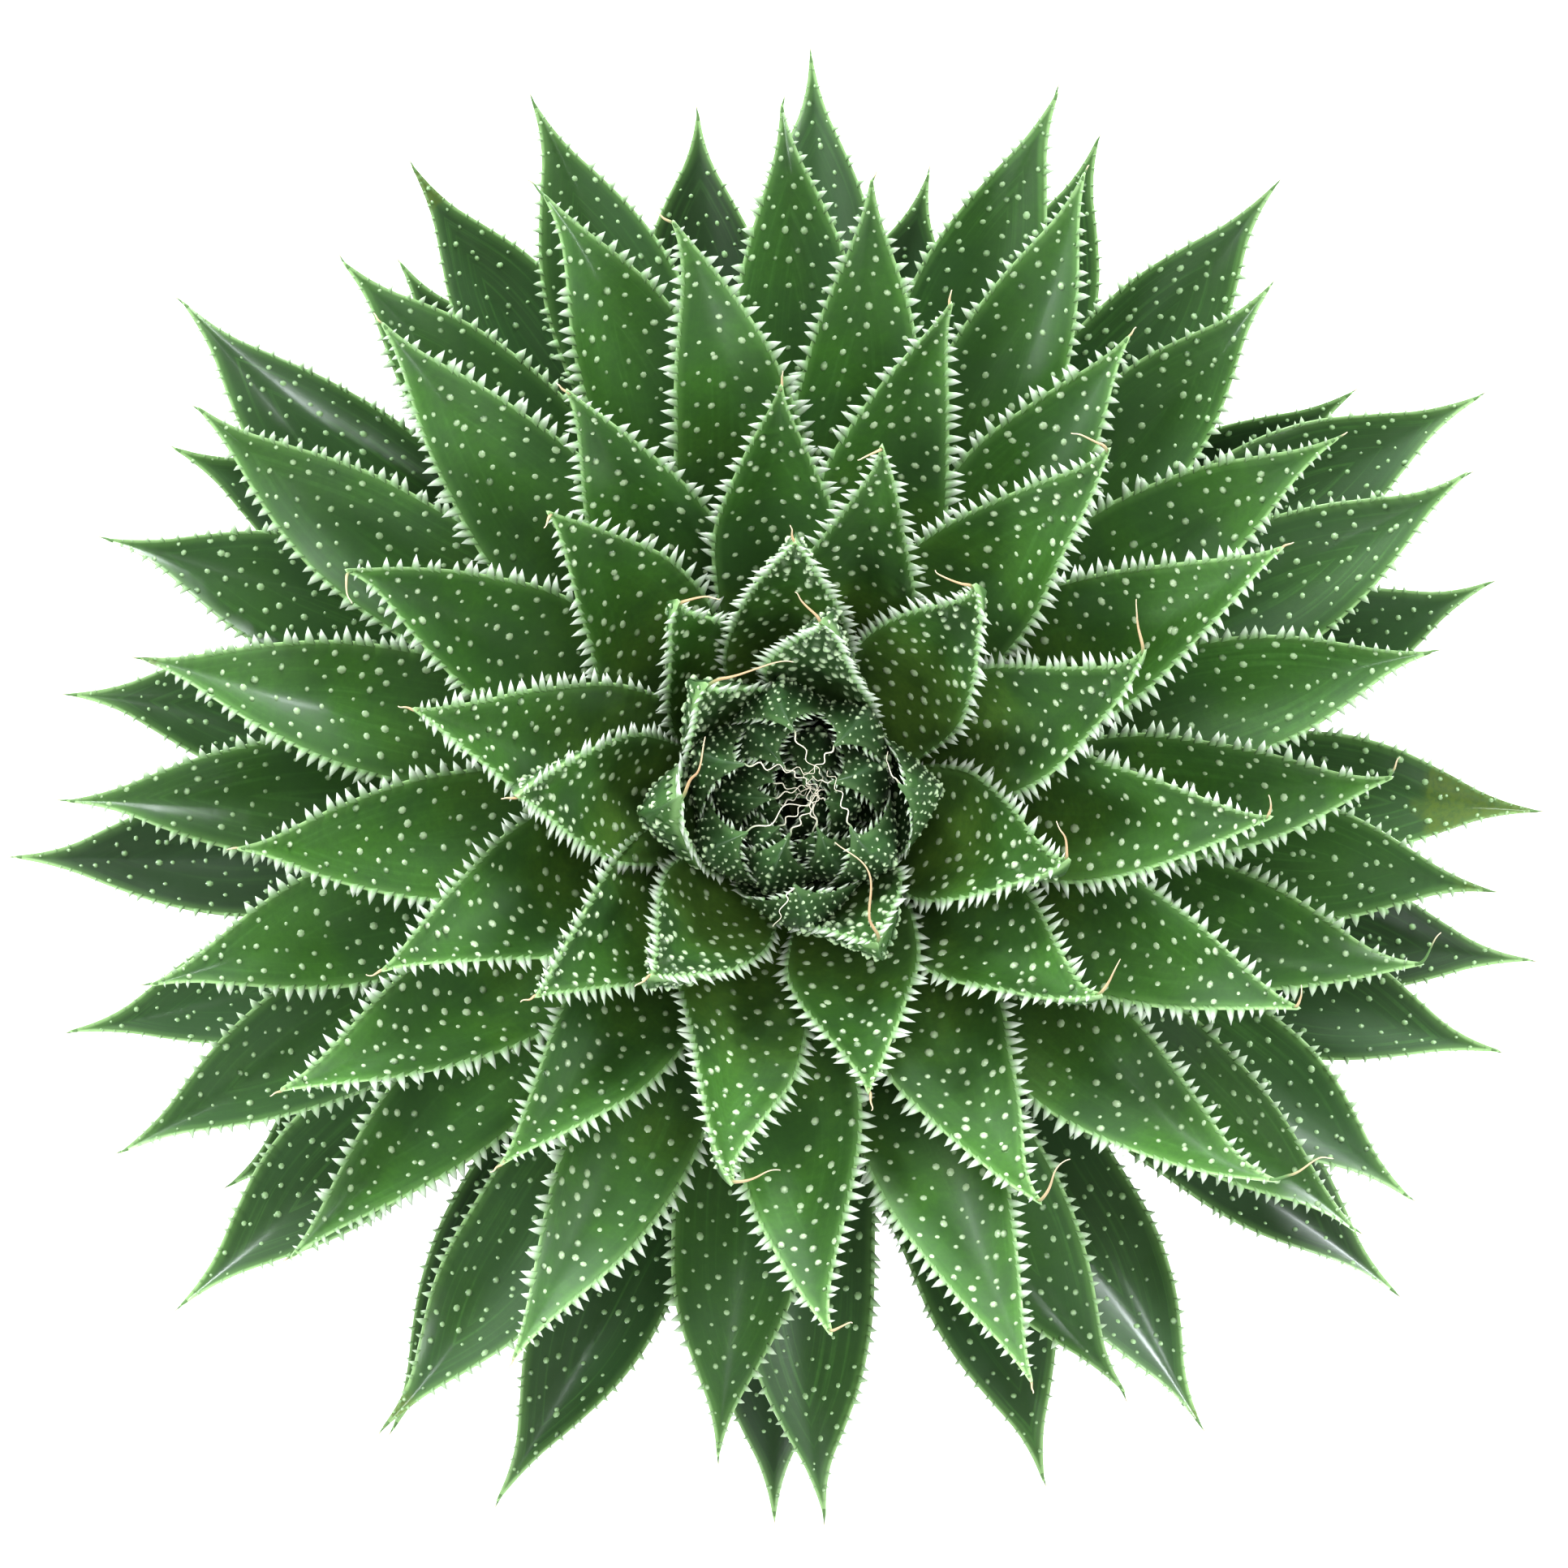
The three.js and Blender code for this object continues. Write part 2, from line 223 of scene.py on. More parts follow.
class Draft:
    """Points, faces and per-point values gathered for one mesh.

    Args:
        values: The names of the numbers that every point carries for its finish.
    """

    def __init__(self, values: Sequence[str]) -> None:
        """Starts an empty draft."""
        self.values = {name: [] for name in values}
        self.points: list[Array] = []
        self.faces: list[Array] = []
        self.slots: list[Array] = []
        self.count = 0

    def add(self, points: Array, faces: Sequence[Array], slot: int, **values: Array | float) -> None:
        """Adds a patch of points with its faces.

        Args:
            points: One row of x, y and z for each point.
            faces: Blocks of faces, each with as many columns as its faces have corners.
            slot: Which of the object's materials the patch wears.
            values: The finish values, one for each point or one for them all.
        """
        total = len(points)
        self.points.append(points)
        for block in faces:
            block = np.asarray(block, dtype=np.int64)
            self.faces.append(block + self.count)
            self.slots.append(np.full(len(block), slot))
        for name, store in self.values.items():
            store.append(np.broadcast_to(np.asarray(values.get(name, 0.0), dtype=float), (total,)))
        self.count += total

    def add_closed(self, points: Array, around: int, ends: Sequence[Array], slot: int = 0,
                   **values: Array | float) -> None:
        """Adds rings of points joined into a skin, closed to a point at each end.

        Args:
            points: One row of x, y and z for each point, ring after ring.
            around: How many points are in a ring.
            ends: The point before the first ring and the one past the last.
            slot: Which of the object's materials the skin wears.
            values: The finish values, one for each point with the two ends last, or one for them all.
        """
        total, ring = len(points), np.arange(around)
        foot, head = fan(ring[::-1], total), fan(total - around + ring, total + 1)
        faces = [lattice(total // around, around), foot, head]
        self.add(np.concatenate([points, ends]), faces, slot, **values)

    def build(self, name: str, materials: Sequence[bpy.types.Material]) -> bpy.types.Object:
        """Makes the object.

        Args:
            name: The object's name.
            materials: The materials, in the order of the slots.

        Returns:
            The new object, linked to the scene and shaded smooth.
        """
        mesh = bpy.data.meshes.new(name)
        points = np.concatenate(self.points)
        corners = np.concatenate([block.ravel() for block in self.faces])
        sizes = np.concatenate([np.full(len(block), block.shape[1]) for block in self.faces])
        starts = np.concatenate(([0], np.cumsum(sizes)[:-1]))
        mesh.vertices.add(len(points))
        mesh.vertices.foreach_set("co", points.astype(np.float32).ravel())
        mesh.loops.add(len(corners))
        mesh.loops.foreach_set("vertex_index", corners.astype(np.int32))
        mesh.polygons.add(len(sizes))
        mesh.polygons.foreach_set("loop_start", starts.astype(np.int32))
        mesh.polygons.foreach_set("material_index", np.concatenate(self.slots).astype(np.int32))
        mesh.polygons.foreach_set("use_smooth", np.ones(len(sizes), dtype=bool))
        for value, store in self.values.items():
            attribute = mesh.attributes.new(value, "FLOAT", "POINT")
            attribute.data.foreach_set("value", np.concatenate(store).astype(np.float32))
        mesh.update(calc_edges=True)
        mesh.validate()
        for material in materials:
            mesh.materials.append(material)
        piece = bpy.data.objects.new(name, mesh)
        bpy.context.scene.collection.objects.link(piece)
        return piece


def lattice(rows: int, around: int) -> Array:
    """The quads between closed rings of points.

    Args:
        rows: How many rings there are.
        around: How many points are in a ring.

    Returns:
        One quad a row, facing out when a ring runs anticlockwise seen from the later rings.
    """
    row, place = np.meshgrid(np.arange(rows - 1), np.arange(around), indexing="ij")
    here = row * around + place
    beside = row * around + (place + 1) % around
    return np.stack([here, beside, beside + around, here + around], axis=-1).reshape(-1, 4)


def circle(sides: int) -> Array:
    """The angles of points spread evenly round a circle, in radians."""
    return np.arange(sides) * 2 * math.pi / sides


def fan(ring: Array, tip: int) -> Array:
    """The triangles from a ring of points to one point."""
    return np.stack([ring, np.roll(ring, -1), np.full(len(ring), tip)], axis=-1)


def unit(vectors: Array) -> Array:
    """Vectors made one long."""
    return vectors / np.maximum(np.linalg.norm(vectors, axis=-1, keepdims=True), 1e-12)


class LeafForm:
    """The smooth shape of one leaf: its middle line and the surface round it.

    Args:
        plan: What sets this leaf apart.
        growth: The rosette's growth law.
    """

    STEPS = 160
    WIDTH_AT = (0, 0.12, 0.26, 0.38, 0.5, 0.6, 0.7, 0.78, 0.85, 0.91, 0.96, 1)
    # Shares of the half width of an inner leaf, a middle one and an outer one.
    WIDTHS = ((0.5, 0.76, 0.96, 1.0, 0.92, 0.77, 0.57, 0.4, 0.265, 0.15, 0.07, 0.03),
              (0.46, 0.72, 0.94, 1.0, 0.97, 0.87, 0.7, 0.52, 0.34, 0.19, 0.085, 0.03),
              (0.42, 0.62, 0.82, 0.94, 1.0, 0.985, 0.9, 0.72, 0.45, 0.2, 0.075, 0.018))
    THICK = ((0, 0.3), (0.14, 0.55), (0.34, 0.92), (0.55, 1.0), (0.75, 0.74), (0.9, 0.38), (1, 0.1))
    # The share of the length over which a leaf turns aside, and where its tip starts to hook.
    BEND_LENGTH = 0.6
    HOOK_START = 0.84
    HOOK_MOST = 1.3 * MM
    LIFT_POWER = 1.45
    FURLED_LIFT_POWER = 1.25

    def __init__(self, plan: LeafPlan, growth: Growth) -> None:
        """Lays out the middle line and the directions along it."""
        self.plan = plan
        self.rng = np.random.default_rng(plan.seed)
        along = np.linspace(0, 1, self.STEPS)
        slope = np.radians(plan.slope + plan.curl * (along - 0.5))
        step = plan.length / (self.STEPS - 1)
        radius = plan.seat_radius + np.concatenate(([0], np.cumsum(np.cos(slope[:-1]) * step)))
        height = plan.seat_height + np.concatenate(([0], np.cumsum(np.sin(slope[:-1]) * step)))
        share = np.clip(along / self.BEND_LENGTH, 0, 1)
        bend = plan.turn * share**2 * (3 - 2 * share) + plan.sway * np.clip(along - 0.4, 0, 1) ** 2
        heading = np.radians(plan.heading + bend)
        aside = plan.hair[1] * math.cos(heading[-1]) - plan.hair[0] * math.sin(heading[-1])
        hooked = np.clip((along - self.HOOK_START) / (1 - self.HOOK_START), 0, 1) ** 2
        hook = hooked * np.clip(aside * 0.35, -self.HOOK_MOST, self.HOOK_MOST)
        heading = heading + hook / np.maximum(radius, 6 * MM)
        x = growth.offset[0] + radius * np.cos(heading)
        y = growth.offset[1] + radius * np.sin(heading)
        self.along = along
        self.middle = np.stack([x, y, height], axis=-1)
        ahead = unit(np.gradient(self.middle, axis=0))
        across = np.stack([-np.sin(heading), np.cos(heading), np.zeros_like(heading)], axis=-1)
        across = unit(across - ahead * np.sum(across * ahead, axis=-1, keepdims=True))
        up = np.cross(ahead, across)
        roll = np.radians(plan.roll * np.clip(along * 1.6, 0, 1))[:, None]
        self.ahead = ahead
        self.across = across * np.cos(roll) + up * np.sin(roll)
        self.up = up * np.cos(roll) - across * np.sin(roll)
        wave = self.rng.uniform(0, 2 * math.pi, 4)
        self.ripple = (wave, self.rng.uniform(0.5, 1.0, 2))

    def read(self, table: Array, along: Array) -> Array:
        """One row of x, y and z of a table along the leaf, at each share of the length."""
        return np.stack([np.interp(along, self.along, table[:, axis]) for axis in range(3)], axis=-1)

    def half_width(self, along: Array) -> Array:
        """The half width at each share of the length.

        Args:
            along: Shares of the length.

        Returns:
            The half width at each.
        """
        stage = self.plan.fullness * 2
        lower = min(int(stage), 1)
        share = stage - lower
        widths = np.array(self.WIDTHS[lower]) * (1 - share) + np.array(self.WIDTHS[lower + 1]) * share
        wave, strength = self.ripple
        ripple = 1 + 0.02 * strength[0] * np.sin(9 * along + wave[0]) + 0.012 * np.sin(23 * along + wave[1])
        return self.plan.half_width * smooth_interp(along, self.WIDTH_AT, widths) * ripple

    def thickness(self, along: Array) -> Array:
        """The thickness in the middle at each share of the length.

        Args:
            along: Shares of the length.

        Returns:
            The thickness at each.
        """
        shares, widths = zip(*self.THICK)
        return self.plan.thickness * smooth_interp(along, shares, widths)

    def surface(self, along: Array, side: Array, top: Array) -> Array:
        """Points on the leaf's skin.

        Args:
            along: Shares of the length.
            side: From -1 at one margin to 1 at the other.
            top: 1 for the upper face and 0 for the lower.

        Returns:
            One row of x, y and z for each.
        """
        half = self.half_width(along)
        thick = self.thickness(along)
        fold = self.plan.cup * (0.35 + 0.65 * np.clip(along * 1.3, 0, 1))
        lift = fold * half * np.abs(side) ** (self.FURLED_LIFT_POWER if self.plan.furled else self.LIFT_POWER)
        lens = np.sqrt(np.clip(1 - side**2, 0, 1))
        wave, strength = self.ripple
        swell = 0.04 * thick * strength[1] * np.sin(14 * along + wave[2] + 2.5 * side)
        upper = lift + 0.12 * thick * lens + swell * lens
        keel = 1 + 0.5 * np.clip(1 - np.abs(side) * 3, 0, 1) * np.clip((along - 0.55) / 0.3, 0, 1)
        lower = lift - 0.88 * thick * lens**1.7 * keel
        offset = np.where(np.asarray(top) > 0.5, upper, lower)
        middle = self.read(self.middle, along)
        pull = np.sqrt(np.clip(1 - (fold * np.abs(side)) ** 2 * 0.35, 0.5, 1))
        return (
            middle
            + self.read(self.across, along) * (half * side * pull)[:, None]
            + self.read(self.up, along) * offset[:, None]
        )

    def outward(self, along: Array, side: Array, top: Array) -> Array:
        """The direction straight out of the skin at each point.

        Args:
            along: Shares of the length.
            side: From -1 at one margin to 1 at the other.
            top: 1 for the upper face and 0 for the lower.

        Returns:
            One direction, one long, for each.
        """
        nudge = 0.004
        ahead = self.surface(along + nudge, side, top) - self.surface(along - nudge, side, top)
        across = self.surface(along, side + nudge * 4, top) - self.surface(along, side - nudge * 4, top)
        out = unit(np.cross(ahead, across))
        return out * np.where(np.asarray(top) > 0.5, 1.0, -1.0)[:, None]


def arc_share(curl: float) -> float:
    """How long the chord of a line is that bends by some degrees, as a share of the line.

    Args:
        curl: How many degrees the line bends.

    Returns:
        The chord's share of the line.
    """
    half = math.radians(curl / 2)
    return math.sin(half) / half


def smooth_interp(at: Array, shares: Sequence[float], values: Sequence[float]) -> Array:
    """A curve through the given points with no corners.

    Args:
        at: Where the curve is read.
        shares: Where the points are, rising.
        values: The curve's value at each point.

    Returns:
        The curve's value at each place.
    """
    shares = np.asarray(shares, dtype=float)
    values = np.asarray(values, dtype=float)
    slopes = np.gradient(values, shares)
    at = np.clip(at, shares[0], shares[-1])
    i = np.clip(np.searchsorted(shares, at, side="right") - 1, 0, len(shares) - 2)
    width = shares[i + 1] - shares[i]
    t = (at - shares[i]) / width
    return (
        values[i] * (2 * t**3 - 3 * t**2 + 1)
        + slopes[i] * width * (t**3 - 2 * t**2 + t)
        + values[i + 1] * (3 * t**2 - 2 * t**3)
        + slopes[i + 1] * width * (t**3 - t**2)
    )


@dataclass(frozen=True)
class Bumps:
    """Many small solids of one sort on a leaf, with a row or a number for each."""

    roots: Array
    tips: Array
    ahead: Array
    aside: Array
    long: Array
    wide: Array
    along: Array
    point: Array
    shine: Array

    def add_to(self, draft: Draft, plan: LeafPlan, slot: int, sides: int,
               rings: Sequence[tuple[float, float]]) -> None:
        """Adds the solids, each with a closed foot, rings of points and one point at its tip.

        Args:
            draft: Where the solids are added.
            plan: The leaf that they stand on.
            slot: Which of the object's materials they wear.
            sides: How many points are in a ring.
            rings: The share of the height and of the girth of each ring, from the foot up.
        """
        count = len(self.roots)
        cos, sin = np.cos(circle(sides))[None, :], np.sin(circle(sides))[None, :]
        layers, lifts = [], []
        for share, girth in rings:
            narrow = girth * (1 - 0.35 * share * self.point)
            centre = self.roots + (self.tips - self.roots) * share
            layers.append(centre[:, None, :]
                          + self.ahead[:, None, :] * (cos * (self.long * narrow)[:, None])[..., None]
                          + self.aside[:, None, :] * (sin * (self.wide * narrow)[:, None])[..., None])
            lifts.append(np.full((count, sides), share) * self.shine[:, None])
        points = np.concatenate([*layers, self.tips[:, None, :]], axis=1)
        lift = np.concatenate([*lifts, self.shine[:, None]], axis=1)
        ring, top = np.arange(sides), sides * len(rings)
        foot = np.stack([np.zeros(sides - 2, int), ring[2:], ring[1:-1]], axis=-1)
        triangles = np.concatenate([fan(top - sides + ring, top), foot])
        each = points.shape[1]
        start = (np.arange(count) * each)[:, None, None]
        turned = self._run_backwards(layers[0])
        faces = []
        for block in (lattice(len(rings), sides), triangles):
            solids = np.concatenate([(start[~turned] + block).reshape(-1, block.shape[1]),
                                     (start[turned] + block[:, ::-1]).reshape(-1, block.shape[1])])
            faces.append(solids)
        draft.add(points.reshape(-1, 3), faces, slot, along=np.repeat(self.along, each), lift=lift.ravel(),
                  rim=3.0, age=plan.age, tone=plan.tone, upper=1.0, dry=plan.dry)

    def _run_backwards(self, feet: Array) -> Array:
        """Which solids have rings that run the wrong way round for faces that point out.

        Args:
            feet: The first ring of each solid.

        Returns:
            True for each solid whose faces have to be turned.
        """
        first, second = feet[:, 0] - self.roots, feet[:, 1] - self.roots
        return np.sum(np.cross(first, second) * (self.tips - self.roots), axis=-1) < 0


@dataclass(frozen=True)
class Leaf:
    """Builds one leaf: blade, toothed margin, tubercles on both faces, and a hair at the tip."""

    VALUES = ("along", "rim", "upper", "age", "lift", "tone", "dry")
    SKIN, TOOTH, HAIR = range(3)
    # The shares of the length that the teeth stand between.
    TEETH = (0.16, 0.985)
    # The rings of a tooth and of a tubercle: share of the height, and share of the girth.
    TOOTH_RINGS = ((0.0, 1.0), (0.5, 0.62))
    WART_RINGS = ((0.0, 1.15), (0.45, 0.86), (0.82, 0.5))

    rows: int = 46
    tooth_step: float = 1.62 * MM
    tooth_base: float = 0.8 * MM
    wart_step: float = 2.9 * MM
    wart_radius: float = 0.6 * MM

    def build(self, form: LeafForm, finishes: Sequence[bpy.types.Material]) -> bpy.types.Object:
        """Makes the leaf.

        Args:
            form: The leaf's smooth shape.
            finishes: Skin, tooth and hair finishes, in that order.

        Returns:
            The finished piece.
        """
        draft = Draft(self.VALUES)
        self.blade(draft, form)
        self._teeth(draft, form)
        self._warts(draft, form)
        self._hair(draft, form)
        return draft.build(form.plan.name, finishes)

    def blade(self, draft: Draft, form: LeafForm) -> None:
        """Adds the blade as a closed skin.

        Args:
            draft: Where the blade is added.
            form: The leaf's smooth shape.
        """
        plan = form.plan
        top = np.array([-1, -0.97, -0.9, -0.74, -0.5, -0.25, 0, 0.25, 0.5, 0.74, 0.9, 0.97])
        under = -np.array([-1, -0.95, -0.8, -0.55, -0.28, 0, 0.28, 0.55, 0.8, 0.95])
        side = np.concatenate([top, under])[::-1]
        face = np.concatenate([np.ones(len(top)), np.zeros(len(under))])[::-1]
        rows = np.linspace(0, 1, self.rows) ** 0.9
        along = np.repeat(rows, len(side))
        sides = np.tile(side, self.rows)
        faces = np.tile(face, self.rows)
        points = form.surface(along, sides, faces)
        margin = (1 - np.abs(sides)) * form.half_width(along) / MM
        tip = form.middle[-1] + form.ahead[-1] * 0.3 * MM
        draft.add_closed(
            points, len(side), [form.middle[0], tip], self.SKIN,
            along=np.concatenate([along, [0, 1]]),
            rim=np.concatenate([margin, [0, 0]]),
            upper=np.concatenate([faces, [0.5, 0.5]]),
            age=plan.age, tone=plan.tone, dry=plan.dry,
        )

    def _teeth(self, draft: Draft, form: LeafForm) -> None:
        """Adds the row of white teeth along each margin.

        Args:
            draft: Where the teeth are added.
            form: The leaf's smooth shape.
        """
        plan, rng = form.plan, form.rng
        start, end = self.TEETH
        count = int(plan.length * (end - start) / self.tooth_step)
        for sign in (-1.0, 1.0):
            along = start + (end - start) * (np.arange(count) + rng.uniform(-0.28, 0.28, count) + 0.5) / count
            late = (0.95 - 0.25 * plan.age, 0.62 - 0.3 * plan.age, 0.3 - 0.2 * plan.age)
            growth = np.interp(along, [start, 0.35, 0.6, 0.85, 0.95, 1], [0.35, 0.85, 1.0, *late])
            size = plan.tooth * growth * rng.uniform(0.7, 1.18, count)
            side = np.full(count, sign)
            root = form.surface(along, side * 0.985, np.ones(count))
            across = form.read(form.across, along) * sign
            ahead = form.read(form.ahead, along)
            up = form.read(form.up, along)
            rise = rng.uniform(-0.1, 0.35, count) + (0.5 if plan.furled else 0.0)
            aim = unit(across + ahead * rng.uniform(0.25, 0.75, count)[:, None] + up * rise[:, None])
            tips = root + aim * size[:, None] + ahead * (size * 0.12)[:, None]
            wide = np.minimum(self.tooth_base, size * 0.56)
            bumps = Bumps(root - across * (0.3 * MM), tips, ahead, up, wide, wide * 0.45, along,
                          np.zeros(count), np.ones(count))
            bumps.add_to(draft, plan, self.TOOTH, 6, self.TOOTH_RINGS)

    def _warts(self, draft: Draft, form: LeafForm) -> None:
        """Adds the raised tubercles in loose rows across both faces.

        Args:
            draft: Where the tubercles are added.
            form: The leaf's smooth shape.
        """
        plan, rng = form.plan, form.rng
        for top in (1.0, 0.0):
            along, side = self._wart_places(form, top)
            count = len(along)
            face = np.full(count, top)
            root = form.surface(along, side, face)
            out = form.outward(along, side, face)
            ahead = form.read(form.ahead, along)
            across = unit(np.cross(out, ahead))
            size = self.wart_radius * rng.uniform(0.62, 1.22, count)
            size *= np.interp(along, [0, 0.25, 0.8, 1], [0.7, 1.0, 0.9, 0.55]) * (1 - 0.25 * plan.age)
            if top < 0.5:
                size *= 0.9
            if plan.furled:
                size *= 0.56 + 0.5 * np.clip(1 - np.abs(side) * 5, 0, 1)
            young = max(0.0, 1 - 2.2 * plan.age)
            point = np.clip((along - 0.62 + 0.25 * young) / 0.3, 0, 1) * rng.uniform(0, 1, count)
            point *= 1 - 0.7 * plan.age
            height = size * (0.42 + 1.4 * point)
            tips = root + out * height[:, None] + ahead * (height * 0.5 * point)[:, None]
            stretch = rng.uniform(0.85, 1.3, count)
            shine = np.ones(count) if plan.furled else 1 - 0.62 * rng.uniform(0, 1, count) ** 2
            bumps = Bumps(root - out * (0.12 * MM), tips, ahead, across, size * stretch, size, along,
                          point, shine)
            bumps.add_to(draft, plan, self.SKIN, 7, self.WART_RINGS)

    def _wart_places(self, form: LeafForm, top: float) -> tuple[Array, Array]:
        """Where the tubercles of one face stand.

        Args:
            form: The leaf's smooth shape.
            top: 1 for the upper face and 0 for the lower.

        Returns:
            Shares of the length, and places across from -1 to 1.
        """
        plan, rng = form.plan, form.rng
        young = plan.furled
        spread = float(np.interp(plan.age, [0.1, 0.25, 0.6, 1], [0.7, 0.95, 1.02, 0.98]))
        step = self.wart_step * (0.56 if young else spread)
        step *= 0.85 if top < 0.5 and not young else 1.0
        aisle = step * (0.52 if young else 0.95)
        reach = 0.97 if plan.age < 0.2 else 0.88
        places: list[tuple[float, float]] = []
        at = 0.2 if top > 0.5 else 0.12
        row = 0
        while at < (0.985 if young else 0.965):
            half = float(form.half_width(np.array([at]))[0])
            count = max(1, round(2 * half * 0.84 / aisle + rng.uniform(-0.4, 0.4)))
            for i in range(count):
                spot = (i + 0.5 + (0.25 if row % 2 else -0.25)) / count * 2 - 1
                spot = spot * reach + rng.uniform(-0.2, 0.2) / count
                jitter = rng.uniform(-0.3, 0.3) * (0.25 if young else 1.0)
                if abs(spot) < reach + 0.03 and rng.random() > 0.06:
                    places.append((at + jitter * step / plan.length, spot))
            at += step * (1.0 - (0.15 if young else 0.42) * at) / plan.length
            row += 1
        found = np.array(places)
        return np.clip(found[:, 0], 0.02, 0.985), found[:, 1]

    def _hair(self, draft: Draft, form: LeafForm) -> None:
        """Adds the dry hair that the leaf's tip draws out into.

        Args:
            draft: Where the hair is added.
            form: The leaf's smooth shape.
        """
        plan, rng = form.plan, form.rng
        sides, rows, root = 5, 30, 0.8 * MM
        share = np.linspace(0, 1, rows)[:, None]
        ahead, up = form.ahead[-1], form.up[-1]
        start = form.middle[-1] - ahead * root
        reach = np.array(plan.hair)
        length = float(np.linalg.norm(reach))
        leave = ahead * length * 1.1
        arrive = unit(reach + rng.uniform(-0.8, 0.8, 3) * length) * length * 0.9
        end = start + ahead * root + reach
        path = (start * (2 * share**3 - 3 * share**2 + 1) + leave * (share**3 - 2 * share**2 + share)
                + end * (3 * share**2 - 2 * share**3) + arrive * (share**3 - share**2))
        young = plan.furled
        waves = rng.uniform(14, 26) if young else rng.uniform(7, 13)
        crimp = np.sin(share * waves + rng.uniform(0, 6)) * np.minimum(share * 3, 1) * 0.06 * length
        path = path + crimp * np.cross(ahead, up) * (1 - plan.age)
        share = share[:, 0]
        girth = (0.06 + 0.2 * (1 - share) ** 1.5) * MM * (0.5 if young else 1.0)
        angle = circle(sides)
        direction = unit(np.gradient(path, axis=0))
        side = np.cross(direction, up + 0.31 * np.cross(ahead, up))
        right = unit(side + 1e-9)
        over = np.cross(right, direction)
        ring = (path[:, None] + right[:, None] * (np.cos(angle)[None] * girth[:, None])[..., None]
                - over[:, None] * (np.sin(angle)[None] * girth[:, None])[..., None])
        end = path[-1] + direction[-1] * 0.1 * MM
        draft.add_closed(ring.reshape(-1, 3), sides, [path[0], end], self.HAIR,
                         lift=np.concatenate([np.repeat(share, sides), [0, 1]]),
                         age=plan.age, tone=plan.tone, along=1.0, upper=1.0)


class Nodes:
    """A small helper that lays out shader nodes in one tree.

    Args:
        tree: The node tree to add to.
    """

    def __init__(self, tree: bpy.types.NodeTree) -> None:
        """Takes the tree."""
        self.tree = tree

    def add(self, kind: str, inputs: dict | None = None, **settings: object) -> bpy.types.Node:
        """Adds a node.

        Args:
            kind: The node's type name.
            inputs: Values or sockets by input name or number.
            settings: Properties of the node itself.

        Returns:
            The node.
        """
        node = self.tree.nodes.new(kind)
        for name, value in settings.items():
            setattr(node, name, value)
        for key, value in (inputs or {}).items():
            self.feed(node.inputs[key], value)
        return node

    def feed(self, socket: bpy.types.NodeSocket, value: object) -> None:
        """Links a socket into another, or sets its plain value.

        Args:
            socket: The input to feed.
            value: An output socket or a plain value.
        """
        if isinstance(value, bpy.types.NodeSocket):
            self.tree.links.new(value, socket)
        else:
            socket.default_value = value

    def math(self, operation: str, first: object, second: object = 0.0) -> bpy.types.NodeSocket:
        """One arithmetic step."""
        return self.add("ShaderNodeMath", {0: first, 1: second}, operation=operation).outputs[0]

    def remap(self, value: object, low: float, high: float, to_low: float = 0.0, to_high: float = 1.0,
              smooth: bool = True) -> bpy.types.NodeSocket:
        """A value stretched from one range to another.

        Args:
            value: A socket or a number.
            low: The value that gives to_low.
            high: The value that gives to_high.
            to_low: The result at low.
            to_high: The result at high.
            smooth: Whether the step between them eases in and out.

        Returns:
            The result's socket.
        """
        node = self.add("ShaderNodeMapRange", {"Value": value, "From Min": low, "From Max": high,
                                               "To Min": to_low, "To Max": to_high},
                        interpolation_type="SMOOTHSTEP" if smooth else "LINEAR")
        return node.outputs["Result"]

    def mix(self, share: object, first: object, second: object, blend: str = "MIX") -> bpy.types.NodeSocket:
        """Two colours mixed by a share.

        Args:
            share: How much of the second colour shows.
            first: A socket or a colour.
            second: A socket or a colour.
            blend: How the second colour goes over the first.

        Returns:
            The colour's socket.
        """
        node = self.add("ShaderNodeMix", data_type="RGBA", blend_type=blend)
        for socket, value in zip((node.inputs[0], *node.inputs[6:8]), (share, first, second)):
            self.feed(socket, value)
        return node.outputs[2]

    def attribute(self, name: str) -> bpy.types.NodeSocket:
        """One of the numbers that the mesh's points carry."""
        return self.add("ShaderNodeAttribute", attribute_name=name).outputs["Fac"]

    def noise(self, scale: object, detail: float, place: bpy.types.NodeSocket,
              roughness: float = 0.55) -> bpy.types.Node:
        """A noise texture over a place.

        Args:
            scale: How fine the noise is.
            detail: How many octaves it has.
            place: The socket of the place.
            roughness: How strong the finer octaves are.

        Returns:
            The texture's node.
        """
        return self.add("ShaderNodeTexNoise", {"Vector": place, "Scale": scale, "Detail": detail,
                                               "Roughness": roughness})


def open_group(name: str, values: dict[str, float], results: dict[str, str]) -> tuple[Nodes, dict, dict]:
    """Starts a shader node group.

    Args:
        name: The group's name.
        values: The label and first value of each number that goes in.
        results: The label and socket type of each result.

    Returns:
        The node helper, the sockets that carry what goes in, and those that take the results.
    """
    tree = bpy.data.node_groups.new(name, "ShaderNodeTree")
    for label, value in values.items():
        tree.interface.new_socket(label, in_out="INPUT", socket_type="NodeSocketFloat").default_value = value
    for label, kind in results.items():
        tree.interface.new_socket(label, in_out="OUTPUT", socket_type=kind)
    nodes = Nodes(tree)
    return nodes, nodes.add("NodeGroupInput").outputs, nodes.add("NodeGroupOutput").inputs


